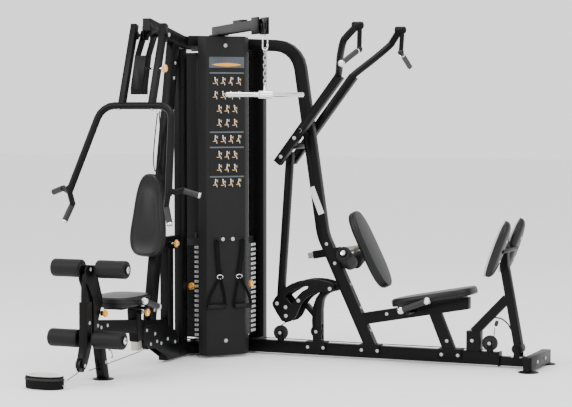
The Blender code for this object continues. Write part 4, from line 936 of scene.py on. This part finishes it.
# ---- labels, hooks and end caps ------------------------------------------------------------------
bm = bmesh.new()
add_bar(bm, (0.729, -0.0262, 1.039), (0.795, -0.0262, 0.876), 0.0010, 0.0380, (0, 1, 0), 0.0004)
piece("blank_label", bm, "label", "frame")
bm = bmesh.new()
add_box(bm, (0, -0.7905, 2.0105), (0.0480, 0.0020, 0.0660))
piece("top_arm_end_cap", bm, "shroud", "frame")
bm = bmesh.new()
add_tube(bm, rounded([(0.0254, -1.3200, 0.1640), (0.0420, -1.3200, 0.1640), (0.0420, -1.2990, 0.1220),
                      (0.0300, -1.2970, 0.1180)], [0.006, 0.008]), 0.0035, 12)
piece("cord_hook", bm, "wire", "frame", 60)
bm = bmesh.new()
add_tube(bm, smooth_path([(1.887, 0, 0.290), (1.925, 0, 0.284), (1.962, 0, 0.258), (1.984, 0, 0.224)], 8),
         0.0045, 12)
add_lathe(bm, (1.890, 0, 0.240), (0.30, 0, 0.95),
          [(0, 0.0080), (0.0020, 0.0105), (0.0300, 0.0105), (0.0320, 0.0080)], 20)
piece("lever_cable_end", bm, "cable", "leg_press", 60)


# ---- cables --------------------------------------------------------------------------------------
def cable(name, body, path, radius=0.0026, mat="cable"):
    """A round cable along a path, riding on one body."""
    bm = bmesh.new()
    add_tube(bm, path, radius, 12)
    piece(name, bm, mat, body, 70)


def wheel_arc(centre, radius, start, stop, axis, n=14):
    """Points round a wheel; axis is 'x' or 'y', angles in degrees in the wheel's plane."""
    out = []
    for k in range(n + 1):
        a = math.radians(start + (stop - start) * k / n)
        c, s = math.cos(a) * radius, math.sin(a) * radius
        out.append(Vector(centre) + (Vector((0, c, s)) if axis == "x" else Vector((c, 0, s))))
    return out


cable("beam_cable", "frame",
      [(0.400, 0, 0.0985), (0.500, 0, 0.0985), (0.700, 0, 0.0975), (1.300, 0, 0.0975), (1.550, 0, 0.0985),
       (1.840, 0, 0.0985)], 0.0028)
cable("lever_cable", "frame",
      [*wheel_arc((1.856, 0, 0.137), 0.0385, -88, 66, "y"), (1.8800, 0, 0.1800), (1.8850, 0, 0.2300)], 0.0026)
cable("post_cable", "frame", [*wheel_arc((0.516, 0, 0.135), 0.0375, -92, -250, "y"), (0.5600, 0, 0.2050)],
      0.0026)
cable("boom_cable", "frame",
      [diag(0.984 + 0.0385 * math.cos(a), 0, 1.990 + 0.0385 * math.sin(a))
       for a in (math.radians(130 - 10 * k) for k in range(14))] + [hang(1.9750, 0, -0.0035), hang(1.9300)],
      0.0026)
cable("curl_cable", "frame",
      [*wheel_arc((0, -0.812, 0.136), 0.0290, -30, -120, "x"), (0, -0.900, 0.0995), (0, -1.500, 0.0695)],
      0.0026)
cable("hook_cable", "leg_curl",
      [(0, -1.560, 0.0700), *wheel_arc((0, -1.591, 0.110), 0.0300, -70, -110, "x", 4), (0, -1.645, 0.0700)],
      0.0026)
cable("cuff_cable", "cuff",
      smooth_path([(-0.004, -1.758, 0.0450), (-0.002, -1.730, 0.0500), (0.0, -1.690, 0.0600),
                   (0.0, -1.648, 0.0690)], 6), 0.0024)
bm = bmesh.new()
add_belt(bm, smooth_path([(0.004, -0.640, 1.500), (0.018, -0.655, 1.400), (0.030, -0.672, 1.280),
                          (0.020, -0.682, 1.190), (0.0, -0.684, 1.150), (-0.018, -0.672, 1.200),
                          (-0.022, -0.655, 1.300), (-0.006, -0.642, 1.490)], 8), (0.6, -0.8, 0), 0.0240,
         0.0028)
piece("press_harness", bm, "web", "frame", 40)
bm = bmesh.new()
add_link(bm, (0.0, -0.640, 1.5300), UP, (1, 0, 0), 0.0780, 0.0150, 0.0034, 12, 32)
piece("harness_carabiner", bm, "chrome", "frame", 60)
bm = bmesh.new()
add_bar(bm, (0, -0.9286, 0.1168), (0, -0.9354, 0.1680), 0.0474, 0.0474, (1, 0, 0), 0.002)
piece("seat_post_stub", bm, "nickel", "seat")


# ---- floor, light and camera ---------------------------------------------------------------------
def plain(name, colour, rough):
    """A finish with next to no grain."""
    return material(name, colour, rough, grain=200, bump=0.0, mottle=0.01, rough_vary=0.02)


bm = bmesh.new()
bmesh.ops.create_grid(bm, x_segments=1, y_segments=1, size=40.0)
mesh = bpy.data.meshes.new("floor")
bm.to_mesh(mesh)
bm.free()
floor = bpy.data.objects.new("floor", mesh)
bpy.context.scene.collection.objects.link(floor)
floor.location = (1.0, -0.8, -0.0005)
mesh.materials.append(plain("floor_paper", (0.93, 0.93, 0.93), 0.7))

world = bpy.data.worlds.new("studio")
world.use_nodes = True
world.node_tree.nodes["Background"].inputs["Color"].default_value = (1.0, 1.0, 1.0, 1)
world.node_tree.nodes["Background"].inputs["Strength"].default_value = 1.5
bpy.context.scene.world = world


def area(name, place, target, size, power):
    """A rectangular lamp that faces a target."""
    lamp = bpy.data.lights.new(name, "AREA")
    lamp.shape = "RECTANGLE"
    lamp.size = size[0]
    lamp.size_y = size[1]
    lamp.energy = power
    obj = bpy.data.objects.new(name, lamp)
    obj.location = place
    obj.rotation_euler = (Vector(target) - Vector(place)).to_track_quat("-Z", "Y").to_euler()
    bpy.context.scene.collection.objects.link(obj)


TARGET = (0.9, -0.7, 0.9)
area("key", (-2.6, -6.5, 5.0), TARGET, (3.0, 3.0), 260)
area("fill", (6.5, -4.5, 3.2), TARGET, (3.0, 3.0), 110)
area("top", (1.0, -0.8, 6.0), TARGET, (4.0, 3.0), 200)

camera = bpy.data.cameras.new("camera")
camera.lens = 115.81
camera.sensor_width = 36.0
camera.clip_end = 200.0
eye = bpy.data.objects.new("camera", camera)
eye.location = (4.9607, -10.3997, 1.5501)
eye.rotation_euler = (math.radians(86.876), 0.0, math.radians(22.984))
bpy.context.scene.collection.objects.link(eye)
bpy.context.scene.camera = eye
